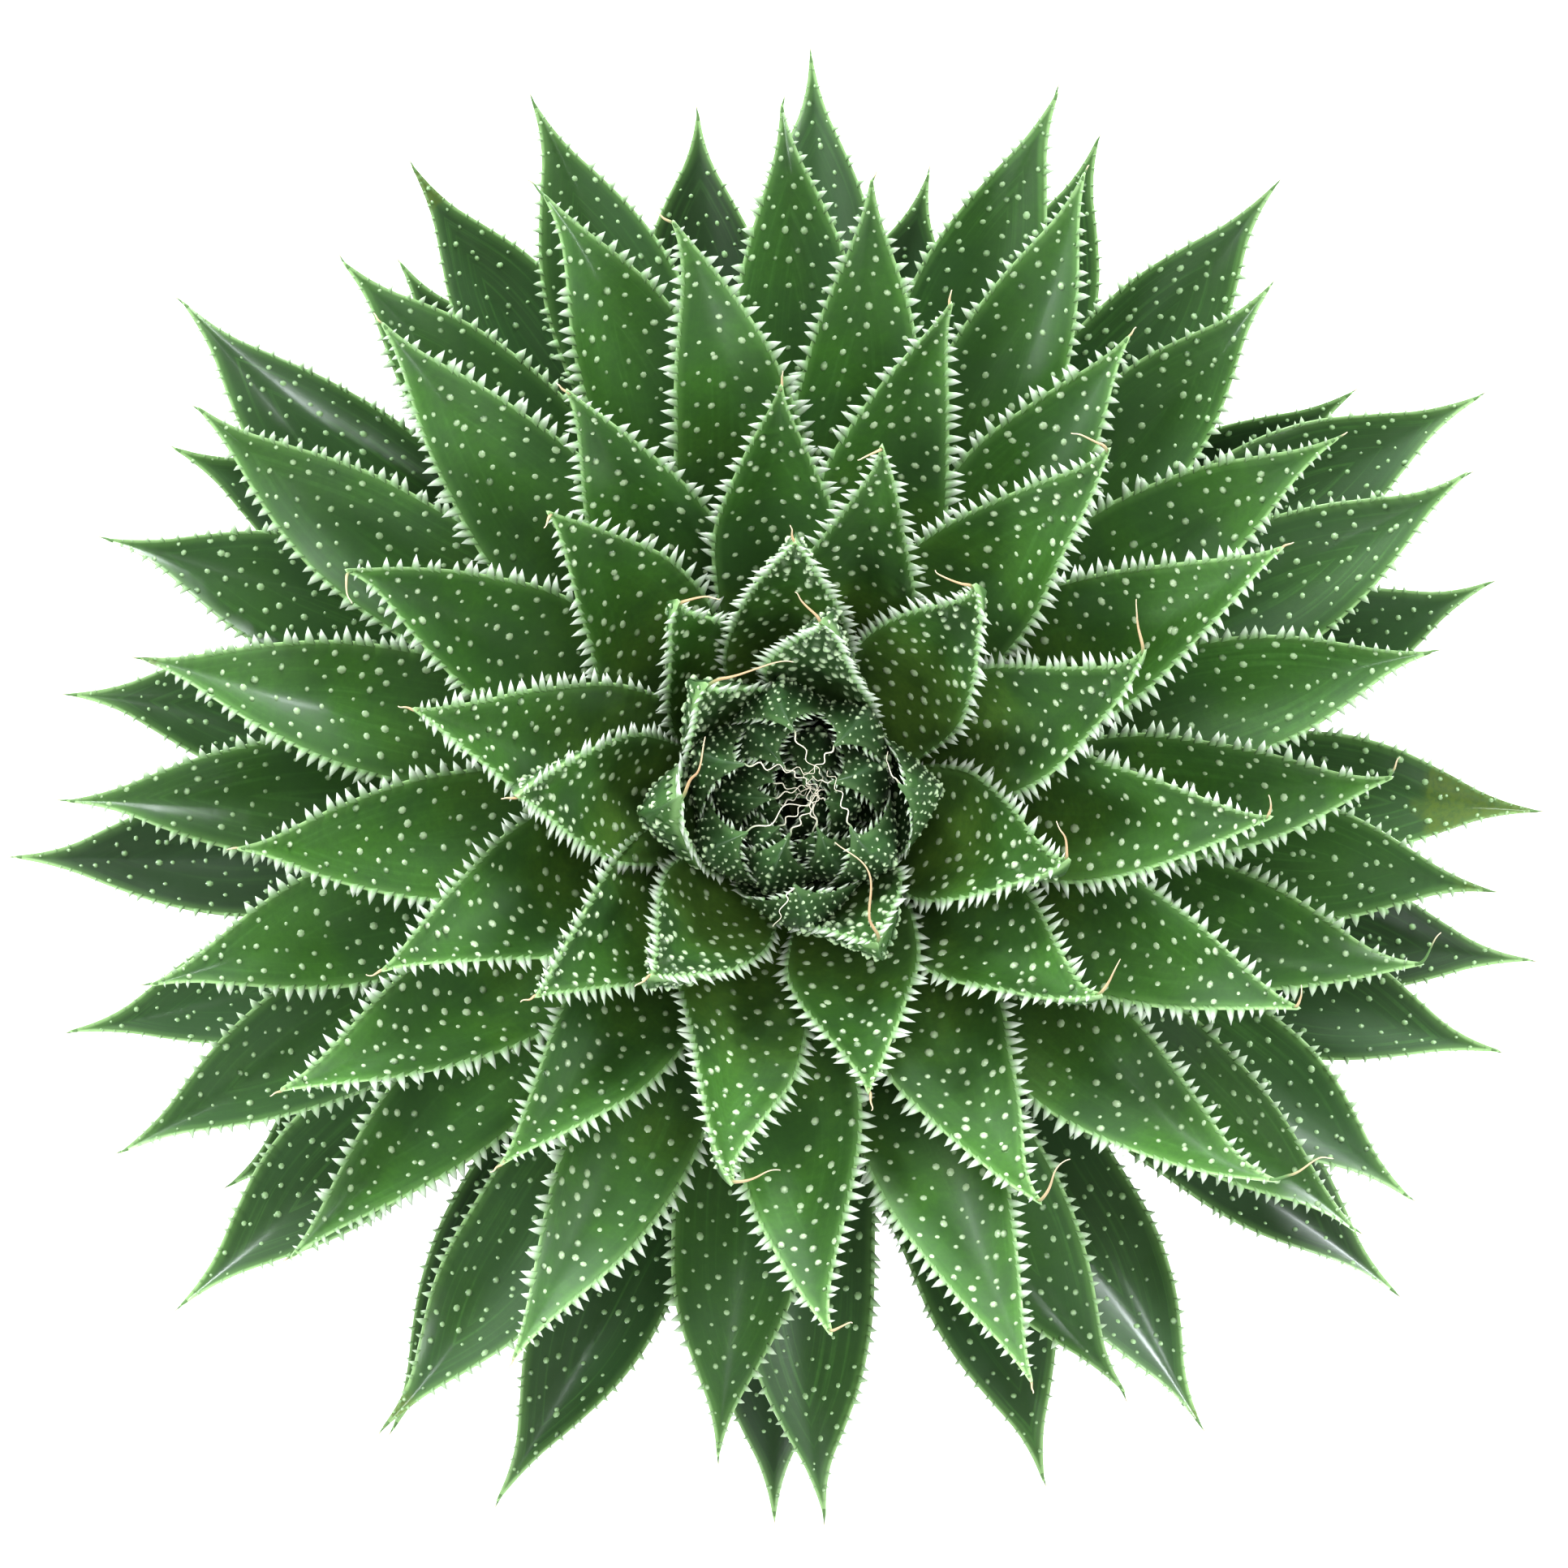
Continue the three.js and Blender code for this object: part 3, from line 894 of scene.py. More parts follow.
def mottle_group() -> bpy.types.NodeTree:
    """The group that gives broad and fine variation and a bumpy normal, made once.

    Returns:
        The group.
    """
    name = "mottle"
    if name in bpy.data.node_groups:
        return bpy.data.node_groups[name]
    nodes, given, result = open_group(
        name, {"Broad Scale": 60.0, "Fine Scale": 900.0, "Bump": 0.1, "Depth": 0.0001},
        {"Broad": "NodeSocketFloat", "Fine": "NodeSocketFloat", "Normal": "NodeSocketVector"})
    place = nodes.add("ShaderNodeTexCoord").outputs["Object"]
    broad = nodes.noise(given["Broad Scale"], 3.0, place).outputs["Fac"]
    fine = nodes.noise(given["Fine Scale"], 4.0, place, 0.65).outputs["Fac"]
    bump = nodes.add("ShaderNodeBump", {
        "Strength": given["Bump"], "Distance": given["Depth"], "Height": fine})
    nodes.feed(result["Broad"], broad)
    nodes.feed(result["Fine"], fine)
    nodes.feed(result["Normal"], bump.outputs["Normal"])
    return nodes.tree


def streak_group() -> bpy.types.NodeTree:
    """The group that gives streaks which run along a leaf, made once.

    Returns:
        The group.
    """
    name = "streaks"
    if name in bpy.data.node_groups:
        return bpy.data.node_groups[name]
    nodes, given, result = open_group(
        name, {"Along": 0.0, "Across": 0.0, "Leaf": 0.0, "Length": 2.5, "Width": 1.6, "Low": 0.5,
               "High": 0.72}, {"Streaks": "NodeSocketFloat"})
    place = nodes.add("ShaderNodeCombineXYZ", {
        0: nodes.math("MULTIPLY", given["Along"], given["Length"]),
        1: nodes.math("MULTIPLY", given["Across"], given["Width"]),
        2: nodes.math("MULTIPLY", given["Leaf"], 40.0)})
    lines = nodes.noise(1.0, 2.5, place.outputs[0]).outputs["Fac"]
    nodes.feed(result["Streaks"], nodes.remap(lines, given["Low"], given["High"]))
    return nodes.tree


def streaks(nodes: Nodes, **values: float) -> bpy.types.NodeSocket:
    """The streaks of one finish, with its own values for the group.

    Args:
        nodes: The node helper of the material.
        values: The group's inputs by label.

    Returns:
        The socket of the streaks' mask.
    """
    group = nodes.add("ShaderNodeGroup", node_tree=streak_group())
    for label, name in (("Along", "along"), ("Across", "rim"), ("Leaf", "tone")):
        nodes.feed(group.inputs[label], nodes.attribute(name))
    for label, value in values.items():
        group.inputs[label].default_value = value
    return group.outputs["Streaks"]


@dataclass(frozen=True)
class Finish:
    """A procedural finish: a name and the shader's own plain values."""

    name: str
    roughness: float = 0.5
    specular: float = 0.5
    broad_scale: float = 60.0
    fine_scale: float = 900.0
    bump: float = 0.15
    depth: float = 0.1 * MM

    def start(self) -> tuple[bpy.types.Material, Nodes, bpy.types.Node, bpy.types.Node]:
        """Makes the material with its shader and its mottling.

        Returns:
            The material, the node helper, the shader and the mottle group's node.
        """
        material = bpy.data.materials.new(self.name)
        material.use_nodes = True
        nodes = Nodes(material.node_tree)
        shader = material.node_tree.nodes["Principled BSDF"]
        shader.inputs["Roughness"].default_value = self.roughness
        shader.inputs["Specular IOR Level"].default_value = self.specular
        mottle = nodes.add("ShaderNodeGroup", node_tree=mottle_group())
        for label, value in (("Broad Scale", self.broad_scale), ("Fine Scale", self.fine_scale),
                             ("Bump", self.bump), ("Depth", self.depth)):
            mottle.inputs[label].default_value = value
        nodes.feed(shader.inputs["Normal"], mottle.outputs["Normal"])
        return material, nodes, shader, mottle

    def make(self) -> bpy.types.Material:
        """Makes the finish."""
        raise NotImplementedError


@dataclass(frozen=True)
class SkinFinish(Finish):
    """The leaf's skin: yellow-green at the base, deeper outwards, pale at the very margin, with painted shade
    towards the base of older leaves.
    """

    coat_roughness: float = 0.22
    young: Colour = (0.026, 0.065, 0.020, 1)
    prime: Colour = (0.039, 0.125, 0.013, 1)
    old: Colour = (0.016, 0.041, 0.010, 1)
    base: Colour = (0.15, 0.28, 0.04, 1)
    rim: Colour = (0.24, 0.40, 0.15, 1)
    under: Colour = (0.043, 0.110, 0.033, 1)
    crest: Colour = (0.40, 0.50, 0.30, 1)
    old_crest: Colour = (0.22, 0.36, 0.155, 1)
    dry: Colour = (0.070, 0.115, 0.006, 1)
    # Painted shade: the dark olive that older leaves darken towards near their bases, standing in for the
    # shade that the leaves above cast there.
    painted_shade: Colour = (0.019, 0.040, 0.010, 1)
    vein: Colour = (0.07, 0.2, 0.035, 1)
    dapple: Colour = (0.014, 0.050, 0.009, 1)
    grain: Colour = (0.012, 0.04, 0.010, 1)
    glow: Colour = (0.16, 0.34, 0.08, 1)

    def make(self) -> bpy.types.Material:
        """Makes the skin."""
        material, nodes, shader, mottle = self.start()
        shader.inputs["Coat Roughness"].default_value = self.coat_roughness
        age, along = nodes.attribute("age"), nodes.attribute("along")
        tone, rim = nodes.attribute("tone"), nodes.attribute("rim")
        prime = nodes.mix(nodes.remap(age, 0.0, 0.22), self.young, self.prime)
        colour = nodes.mix(nodes.remap(age, 0.45, 1.0), prime, self.old)
        wander = nodes.math("ADD", along, nodes.remap(mottle.outputs["Broad"], 0.3, 0.7, -0.08, 0.08, False))
        bright = nodes.math("MULTIPLY", nodes.remap(wander, 0.62, 0.2), nodes.remap(age, 0.02, 0.2))
        bright = nodes.math("MULTIPLY", bright, nodes.remap(age, 0.75, 0.3, 0.1, 0.6))
        colour = nodes.mix(bright, colour, self.base)
        # Painted shade: older leaves darken towards a dark olive near their bases, where the leaves above
        # shade them.
        painted_shade_share = nodes.math("MULTIPLY", nodes.remap(wander, 0.6, 0.2, 0.0, 0.75), nodes.remap(age, 0.25, 0.55))
        colour = nodes.mix(painted_shade_share, colour, self.painted_shade)
        below = nodes.math("MULTIPLY", nodes.remap(nodes.attribute("upper"), 0.6, 0.4, 0.0, 0.7),
                           nodes.remap(age, 0.04, 0.2))
        colour = nodes.mix(below, colour, self.under)
        veins = streaks(nodes, Length=2.5, Width=1.6, Low=0.5, High=0.72)
        colour = nodes.mix(nodes.math("MULTIPLY", veins, 0.3), colour, self.vein)
        dapple = nodes.remap(mottle.outputs["Broad"], 0.35, 0.68)
        colour = nodes.mix(nodes.math("MULTIPLY", dapple, 0.62), colour, self.dapple)
        grain = nodes.remap(mottle.outputs["Fine"], 0.3, 0.7, 0.0, 0.28)
        colour = nodes.mix(grain, colour, self.grain)
        light = nodes.remap(tone, 0.0, 1.0, 0.75, 1.3, False)
        lightness = nodes.add("ShaderNodeCombineColor", {0: light, 1: light, 2: light}).outputs[0]
        colour = nodes.mix(1.0, colour, lightness, "MULTIPLY")
        open_leaf = nodes.remap(age, 0.06, 0.2, 0.12, 1.0)
        glow = nodes.math("MULTIPLY", nodes.remap(rim, 1.6, 0.2, 0.0, 0.3), open_leaf)
        colour = nodes.mix(glow, colour, self.glow)
        edge = nodes.math("MULTIPLY", nodes.remap(rim, 0.6, 0.15), nodes.remap(along, 0.12, 0.4))
        edge = nodes.math("MULTIPLY", edge, open_leaf)
        colour = nodes.mix(edge, colour, self.rim)
        dry = nodes.attribute("dry")
        drying = nodes.math("ADD", nodes.math("MULTIPLY", dry, 0.2), wander)
        dried = nodes.math("MULTIPLY", nodes.remap(drying, 0.985, 1.03), nodes.remap(dry, 0.0, 0.1))
        band = nodes.remap(mottle.outputs["Fine"], 0.35, 0.6, 0.35, 0.85)
        colour = nodes.mix(nodes.math("MULTIPLY", dried, band), colour, self.dry)
        crest = nodes.mix(nodes.remap(age, 0.3, 1.0), self.crest, self.old_crest)
        crest = nodes.mix(nodes.remap(mottle.outputs["Fine"], 0.35, 0.7, 0.0, 0.5), crest, self.old_crest)
        colour = nodes.mix(nodes.remap(nodes.attribute("lift"), 0.1, 0.58), colour, crest)
        nodes.feed(shader.inputs["Base Color"], colour)
        smoothest, roughest = self.roughness - 0.08, self.roughness + 0.12
        rough = nodes.remap(mottle.outputs["Broad"], 0.3, 0.7, smoothest, roughest, False)
        nodes.feed(shader.inputs["Roughness"], rough)
        wax = nodes.remap(mottle.outputs["Broad"], 0.38, 0.62, 0.45, 1.0)
        wax = nodes.math("MULTIPLY", wax, nodes.remap(age, 0.04, 0.2, 0.5, 1.0))
        nodes.feed(shader.inputs["Coat Weight"], wax)
        return material


@dataclass(frozen=True)
class ToothFinish(Finish):
    """The teeth: green where they leave the margin, then near white."""

    foot: Colour = (0.17, 0.31, 0.11, 1)
    crest: Colour = (0.43, 0.48, 0.39, 1)
    old_crest: Colour = (0.27, 0.38, 0.21, 1)
    full_at: float = 0.6

    def make(self) -> bpy.types.Material:
        """Makes the finish."""
        material, nodes, shader, mottle = self.start()
        crest = nodes.mix(nodes.remap(nodes.attribute("age"), 0.4, 1.0), self.crest, self.old_crest)
        crest = nodes.mix(nodes.remap(mottle.outputs["Broad"], 0.4, 0.75, 0.0, 0.3), crest, self.old_crest)
        rise = nodes.remap(nodes.attribute("lift"), 0.0, self.full_at)
        nodes.feed(shader.inputs["Base Color"], nodes.mix(rise, self.foot, crest))
        return material


@dataclass(frozen=True)
class HairFinish(Finish):
    """The dry hair at a leaf's tip: green, then orange, then straw."""

    green: Colour = (0.06, 0.14, 0.03, 1)
    orange: Colour = (0.40, 0.24, 0.12, 1)
    straw: Colour = (0.50, 0.42, 0.25, 1)
    whitish: Colour = (0.60, 0.55, 0.44, 1)
    end: Colour = (0.62, 0.55, 0.40, 1)

    def make(self) -> bpy.types.Material:
        """Makes the finish."""
        material, nodes, shader, _ = self.start()
        lift, age = nodes.attribute("lift"), nodes.attribute("age")
        warm = nodes.mix(nodes.attribute("tone"), self.orange, self.straw)
        warm = nodes.mix(nodes.remap(age, 0.08, 0.04), warm, self.whitish)
        green_until = nodes.remap(age, 0.4, 0.7, 0.0, 0.6)
        turned = nodes.remap(nodes.math("SUBTRACT", lift, green_until), 0.0, 0.35)
        colour = nodes.mix(turned, self.green, warm)
        ending = nodes.remap(lift, 0.5, 1.0, 0.0, 0.6)
        nodes.feed(shader.inputs["Base Color"], nodes.mix(ending, colour, self.end))
        return material


@dataclass(frozen=True)
class ClayFinish(Finish):
    """Unglazed clay with pale lime bloom, faint turning lines and dark specks."""

    body: Colour = (0.33, 0.105, 0.045, 1)
    pale: Colour = (0.45, 0.25, 0.16, 1)
    dark: Colour = (0.16, 0.05, 0.022, 1)

    def make(self) -> bpy.types.Material:
        """Makes the finish."""
        material, nodes, shader, mottle = self.start()
        place = nodes.add("ShaderNodeTexCoord").outputs["Object"]
        bloom = nodes.noise(26.0, 6.0, place, 0.68).outputs["Fac"]
        height = nodes.add("ShaderNodeSeparateXYZ", {0: place}).outputs["Z"]
        low = nodes.remap(height, 0.0, 0.05, 0.25, 0.0)
        lime = nodes.math("ADD", nodes.remap(bloom, 0.52, 0.72, 0.0, 0.5), low)
        colour = nodes.mix(lime, self.body, self.pale)
        specks = nodes.remap(mottle.outputs["Fine"], 0.66, 0.74)
        colour = nodes.mix(nodes.math("MULTIPLY", specks, 0.6), colour, self.dark)
        rings = nodes.math("SINE", nodes.math("MULTIPLY", height, 4200.0))
        colour = nodes.mix(nodes.remap(rings, -1.0, 1.0, 0.0, 0.07), colour, self.dark)
        nodes.feed(shader.inputs["Base Color"], colour)
        return material


@dataclass(frozen=True)
class EarthFinish(Finish):
    """Potting mix: dark crumbs with paler ones among them."""

    dark: Colour = (0.030, 0.018, 0.011, 1)
    warm: Colour = (0.105, 0.062, 0.035, 1)
    bark: Colour = (0.16, 0.10, 0.06, 1)
    grit: Colour = (0.62, 0.60, 0.55, 1)

    def make(self) -> bpy.types.Material:
        """Makes the finish."""
        material, nodes, shader, mottle = self.start()
        blend = nodes.remap(mottle.outputs["Fine"], 0.35, 0.68)
        colour = nodes.mix(blend, self.dark, self.warm)
        tone = nodes.attribute("tone")
        colour = nodes.mix(nodes.math("MULTIPLY", tone, 0.55), colour, self.bark)
        nodes.feed(shader.inputs["Base Color"], nodes.mix(nodes.remap(tone, 0.93, 0.95), colour, self.grit))
        return material


@dataclass(frozen=True)
class HuskFinish(Finish):
    """Dry, papery leaf bases: straw and brown, with streaks that run along them."""

    straw: Colour = (0.24, 0.165, 0.085, 1)
    brown: Colour = (0.085, 0.048, 0.024, 1)
    green: Colour = (0.10, 0.15, 0.045, 1)

    def make(self) -> bpy.types.Material:
        """Makes the finish."""
        material, nodes, shader, mottle = self.start()
        lines = streaks(nodes, Length=1.2, Width=3.0, Low=0.35, High=0.65)
        colour = nodes.mix(lines, self.brown, self.straw)
        colour = nodes.mix(nodes.remap(mottle.outputs["Broad"], 0.4, 0.7, 0.0, 0.6), colour, self.brown)
        fresh = nodes.math("MULTIPLY", nodes.remap(nodes.attribute("age"), 0.9, 0.5), 0.8)
        nodes.feed(shader.inputs["Base Color"], nodes.mix(fresh, colour, self.green))
        return material


@dataclass(frozen=True)
class FloorFinish(Finish):
    """The plain pale floor."""

    cool: Colour = (0.90, 0.90, 0.90, 1)
    pale: Colour = (0.93, 0.93, 0.92, 1)

    def make(self) -> bpy.types.Material:
        """Makes the finish."""
        material, nodes, shader, mottle = self.start()
        tint = nodes.mix(nodes.remap(mottle.outputs["Broad"], 0.3, 0.7), self.cool, self.pale)
        nodes.feed(shader.inputs["Base Color"], tint)
        return material


@dataclass
class Rosette:
    """The plant above the soil: stem, heart, single leaves and the lower leaves."""

    growth: Growth = field(default_factory=Growth)
    leaf_width: float = 16.8 * MM
    inner_width: float = 14.0 * MM
    inner_length: float = 37.0 * MM
    full_width_place: int = 16
    thickness: float = 3.9 * MM
    curl: float = 22.0
    inner_curl: float = 38.0
    young_leaves: int = 6
    full_age_place: int = 104
    furled_thickness: float = 2.0 * MM
    furled_tooth: float = 1.05 * MM
    furled_cup: float = 0.58

    def plans(self) -> Iterator[LeafPlan]:
        """Each leaf's plan, innermost first."""
        for step in range(len(HEART_LEAVES) - 1, -1, -1):
            yield self._heart_plan(step)
        for index, place in enumerate(self.growth.leaf_places):
            yield self._leaf_plan(index, place)

    def _leaf_plan(self, index: int, place: int) -> LeafPlan:
        """The plan of a leaf on the spiral.

        Args:
            index: The leaf's number, from 0 for the innermost.
            place: Its place on the spiral.

        Returns:
            The plan.
        """
        growth = self.growth
        rng = np.random.default_rng(4000 + place)
        turn, extra = DEPARTURES[place]
        age = min(1.0, 0.12 + place / self.full_age_place)
        seat = growth.seat_radius(place) + growth.gap
        heading = growth.spiral_start - growth.golden_turn * place
        hair = self._hair(place, heading + turn, age, rng)
        straight = place not in HAIR_ENDS
        run = growth.typical_reach(place) + extra / 100 * growth.rosette_radius - seat
        run -= math.hypot(hair[0], hair[1]) * 0.9 if straight else 0.0
        inner = max(0.0, 1 - place / 14)
        curl = self.curl + self.inner_curl * inner
        slope = growth.chord_slope(place)
        shorten = arc_share(curl)
        length = run / math.cos(math.radians(slope)) / shorten
        if length < self.inner_length:
            length += (self.inner_length - length) * min(1.0, 2 * inner)
            slope = math.degrees(math.acos(run / length / shorten))
        if place:
            curl = min(curl, max(8.0, 2 * (87.0 - slope)))
        grown = min(1.0, place / self.full_width_place)
        width = self.inner_width + (self.leaf_width - self.inner_width) * grown
        single = index < growth.single_leaves
        single_slot = "young_leaf" if index < self.young_leaves else "leaf"
        return LeafPlan(
            name=f"fine_leaf_{index + 1:02d}",
            node=f"leaf_{index + 1:02d}" if single else "lower_leaves",
            slot=single_slot if single else "old_leaf",
            kind=Kind.SINGLE if single else Kind.LOWER,
            heading=heading,
            turn=turn,
            seat_radius=seat,
            seat_height=growth.seat_height(place),
            slope=slope,
            curl=curl,
            length=length,
            half_width=width / 2 * rng.uniform(0.95, 1.06),
            thickness=self.thickness * rng.uniform(0.9, 1.05),
            cup=0.40 + 0.08 * max(0.0, 1 - place / 40) + rng.uniform(-0.07, 0.07),
            roll=rng.uniform(-15, 15) * (1 - 0.4 * inner),
            sway=rng.uniform(-8, 8),
            age=age,
            fullness=float(np.interp(place, [0, 12, 35, 75], [0.0, 0.0, 0.5, 1.0])),
            tooth=float(np.interp(place, [0, 12, 45, 68, 88], [1.7, 2.0, 1.85, 1.3, 0.8])) * MM,
            hair=hair,
            dry=DRY_ENDS.get(place, 0.0),
            seed=100 + place,
        )

    @staticmethod
    def _hair(place: int, heading: float, age: float, rng: np.random.Generator) -> tuple[float, float, float]:
        """Where a leaf's hair ends, from the leaf's tip.

        Args:
            place: The leaf's place on the spiral.
            heading: The leaf's heading in degrees.
            age: The leaf's age, from 0 to 1.
            rng: The source of what varies.

        Returns:
            Metres towards +X, +Y and +Z.
        """
        if place in HAIR_ENDS:
            east, north = HAIR_ENDS[place]
            return east * MM, north * MM, 0.4 * math.hypot(east, north) * MM
        length = (2.0 - 1.4 * age + rng.uniform(0, 0.6)) * MM
        aim = math.radians(heading + rng.uniform(-50, 50) * (1 - age))
        return length * math.cos(aim), length * math.sin(aim), 0.3 * length

    def _heart_plan(self, step: int) -> LeafPlan:
        """The plan of a furled young leaf, counted inwards from the innermost open leaf.

        Args:
            step: The leaf's number, from 0 for the outermost.

        Returns:
            The plan.
        """
        growth = self.growth
        rng = np.random.default_rng(900 + step)
        heading, reach, length, width, curl = HEART_LEAVES[step]
        inward = (step + 1) / (len(HEART_LEAVES) + 1)
        seat = growth.crown_radius * (1 - inward) * 0.9 + growth.gap
        slope = math.degrees(math.acos((reach * MM - seat) / (length * MM) / arc_share(curl)))
        aim = math.radians(heading)
        to_meeting = (HAIRS_MEET[0] - reach * math.cos(aim) + rng.uniform(-1.2, 1.2),
                      HAIRS_MEET[1] - reach * math.sin(aim) + rng.uniform(-1.2, 1.2))
        east, north = HEART_HAIR_ENDS.get(step, to_meeting)
        return LeafPlan(
            name=f"heart_leaf_{step + 1:02d}",
            node="bud",
            slot="young_leaf",
            kind=Kind.HEART,
            heading=heading,
            turn=0.0,
            seat_radius=seat,
            seat_height=growth.crown_height + 0.4 * MM,
            slope=slope,
            curl=curl,
            length=length * MM,
            half_width=width * 0.53 * MM,
            thickness=self.furled_thickness,
            cup=self.furled_cup,
            roll=rng.uniform(-6, 6),
            sway=rng.uniform(-6, 6),
            age=0.05 * (1 - inward),
            fullness=0.05,
            tooth=self.furled_tooth,
            hair=(east * MM, north * MM, (0.3 + 0.2 * math.hypot(east, north)) * MM),
            dry=0.0,
            seed=700 + step,
        )

    def build(self, finishes: Sequence[bpy.types.Material]) -> None:
        """Builds every leaf and hands it to the frame.

        Args:
            finishes: Skin, tooth and hair finishes, in that order.
        """
        maker = Leaf()
        plans = list(self.plans())
        for plan in plans:
            piece = maker.build(LeafForm(plan, self.growth), finishes)
            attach(piece, BODY)
            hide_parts(plan.node)
        LOG.info("rosette: %d leaves", len(plans))


@dataclass
class Stem:
    """The short stem: scarred where leaves grew, and wrapped in dry leaf bases above the soil."""

    growth: Growth = field(default_factory=Growth)
    sides: int = 96
    rows: int = 64
    inset: float = 0.5 * MM
    scar_depth: float = 0.35 * MM
    husks: int = 46
    husk_width: float = 9.5 * MM
    husk_rows: int = 12
    # How far under the pot's rim the lowest dry leaf base sits, and how far up the others climb.
    husk_drop: float = 7 * MM
    husk_climb: float = 21 * MM

    def build(self, finish: bpy.types.Material) -> bpy.types.Object:
        """Builds the stem inside the frame's own stem.

        Args:
            finish: The dry leaf bases.

        Returns:
            The stem.
        """
        growth = self.growth
        low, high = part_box("stem")
        centre = np.array([*growth.offset, 0.0])
        places = np.linspace(0, growth.last_place, 200)
        heights = np.array([growth.seat_height(place) for place in places])
        radii = np.array([growth.seat_radius(place) for place in places])
        share = np.linspace(0, 1, self.rows)
        height = low.z + (high.z - low.z) * share
        radius = np.interp(height, heights[::-1], radii[::-1]) - self.inset
        angle = circle(self.sides)
        turns = 8 * angle[None, :] + height[:, None] / MM * 0.75
        scars = self.scar_depth * np.sin(turns) * np.sin(13 * angle[None, :] - height[:, None] / MM * 0.9)
        girth = radius[:, None] + scars
        points = np.stack([girth * np.cos(angle), girth * np.sin(angle),
                           np.broadcast_to(height[:, None], girth.shape)], axis=-1).reshape(-1, 3) + centre
        draft = Draft(Leaf.VALUES)
        aged = np.append(np.repeat(1 - 0.7 * share**2, self.sides), [1.0, 0.3])
        draft.add_closed(points, self.sides, [centre + [0, 0, low.z], centre + [0, 0, high.z]],
                         age=aged, rim=1.0, tone=0.4, upper=1.0)
        rim_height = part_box("pot")[1].z
        for index in range(self.husks):
            Leaf(rows=self.husk_rows).blade(draft, LeafForm(self._husk(index, rim_height), growth))
        piece = draft.build("leafy_stem", [finish])
        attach(piece, BODY)
        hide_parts("stem")
        LOG.info("stem: %.0f mm high, %d dry leaf bases", (high.z - low.z) / MM, self.husks)
        return piece

    def _husk(self, index: int, rim_height: float) -> LeafPlan:
        """The plan of one dry leaf base, lowest first.

        Args:
            index: The leaf base's number, from 0.
            rim_height: The height of the pot's rim.

        Returns:
            The plan.
        """
        rng = np.random.default_rng(5200 + index)
        share = index / (self.husks - 1)
        return LeafPlan(
            name=f"husk_{index + 1:02d}",
            node="stem",
            slot="stem",
            kind=Kind.LOWER,
            heading=self.growth.golden_turn * index + rng.uniform(-14, 14),
            turn=rng.uniform(-10, 10),
            seat_radius=self.growth.seat_radius(self.growth.last_place) - (1.4 - 0.4 * share) * MM,
            seat_height=rim_height - self.husk_drop + share * self.husk_climb,
            slope=rng.uniform(24, 52) - 10 * share,
            curl=rng.uniform(-30, 50),
            length=rng.uniform(9, 17) * MM * (1 - 0.35 * share),
            half_width=self.husk_width / 2 * rng.uniform(0.7, 1.1),
            thickness=0.9 * MM,
            cup=rng.uniform(0.05, 0.4),
            roll=rng.uniform(-25, 25),
            sway=rng.uniform(-20, 20),
            age=1.0,
            fullness=0.5,
            tooth=0.0,
            hair=(0.0, 0.0, 0.0),
            dry=1.0,
            seed=5200 + index,
        )


@dataclass
class Pot:
    """The clay pot, with worn edges, a rim band and a drain hole."""

    sides: int = 128
    wobble: float = 0.12 * MM
    foot_radius: float = 36 * MM
    rim_step: float = 3.5 * MM
    band: float = 17 * MM
    wall: float = 5 * MM
    floor: float = 6 * MM
    drain_radius: float = 6 * MM

    def build(self, finish: bpy.types.Material) -> bpy.types.Object:
        """Builds the pot round the frame's own sizes.

        Args:
            finish: The clay.

        Returns:
            The pot.
        """
        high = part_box("pot")[1]
        rim, height = high.x, high.z
        body, bottom = rim - self.rim_step, height - self.band
        side = self.foot_radius + (body - self.foot_radius) * bottom / height
        profile = np.array(self._rounded([
            (self.drain_radius, 0, 0.8), (self.foot_radius, 0, 1.8), (side, bottom, 0.7),
            (rim, bottom, 1.6), (rim, height, 2.2), (body - self.wall, height, 1.8),
            (self.foot_radius - self.wall, self.floor, 3.0), (self.drain_radius, self.floor, 0.8)]))
        angle = circle(self.sides)
        ripple = self.wobble * np.sin(3 * angle[None, :] + 0.6 * np.sin(profile[:, 1:2] / height * 5)) * 0.5
        radius = profile[:, :1] + ripple * (profile[:, :1] > 20 * MM)
        rings = np.stack([radius * np.cos(angle), radius * np.sin(angle),
                          np.broadcast_to(profile[:, 1:2], radius.shape)], axis=-1)
        first = np.arange(self.sides)
        last = first + (len(rings) - 1) * self.sides
        seam = np.stack([last, np.roll(last, -1), np.roll(first, -1), first], axis=-1)
        draft = Draft(("tone",))
        draft.add(rings.reshape(-1, 3), [lattice(len(rings), self.sides), seam], 0)
        piece = draft.build("clay_pot", [finish])
        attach(piece, BODY)
        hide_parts("pot")
        LOG.info("pot: %.0f mm across, %.0f mm high", 2 * rim / MM, height / MM)
        return piece

    @staticmethod
    def _rounded(corners: Sequence[tuple[float, float, float]], steps: int = 6) -> list[Array]:
        """A closed outline with its corners rounded.

        Args:
            corners: Radius, height and rounding in mm of each corner.
            steps: Points in each rounding.

        Returns:
            Radius and height of each point, with extra points on the long sides.
        """
        points: list[Array] = []
        for i, (radius, height, rounding) in enumerate(corners):
            here = np.array([radius, height])
            follow = np.array(corners[(i + 1) % len(corners)][:2])
            before, after = np.array(corners[i - 1][:2]) - here, follow - here
            cut = rounding * MM
            start = here + before / np.linalg.norm(before) * cut
            end = here + after / np.linalg.norm(after) * cut
            for t in np.linspace(0, 1, steps):
                points.append(start * (1 - t) ** 2 + here * 2 * t * (1 - t) + end * t**2)
            if np.linalg.norm(after) > 12 * MM:
                for t in np.linspace(0, 1, 9)[1:-1]:
                    points.append(end * (1 - t) + follow * t)
        return points


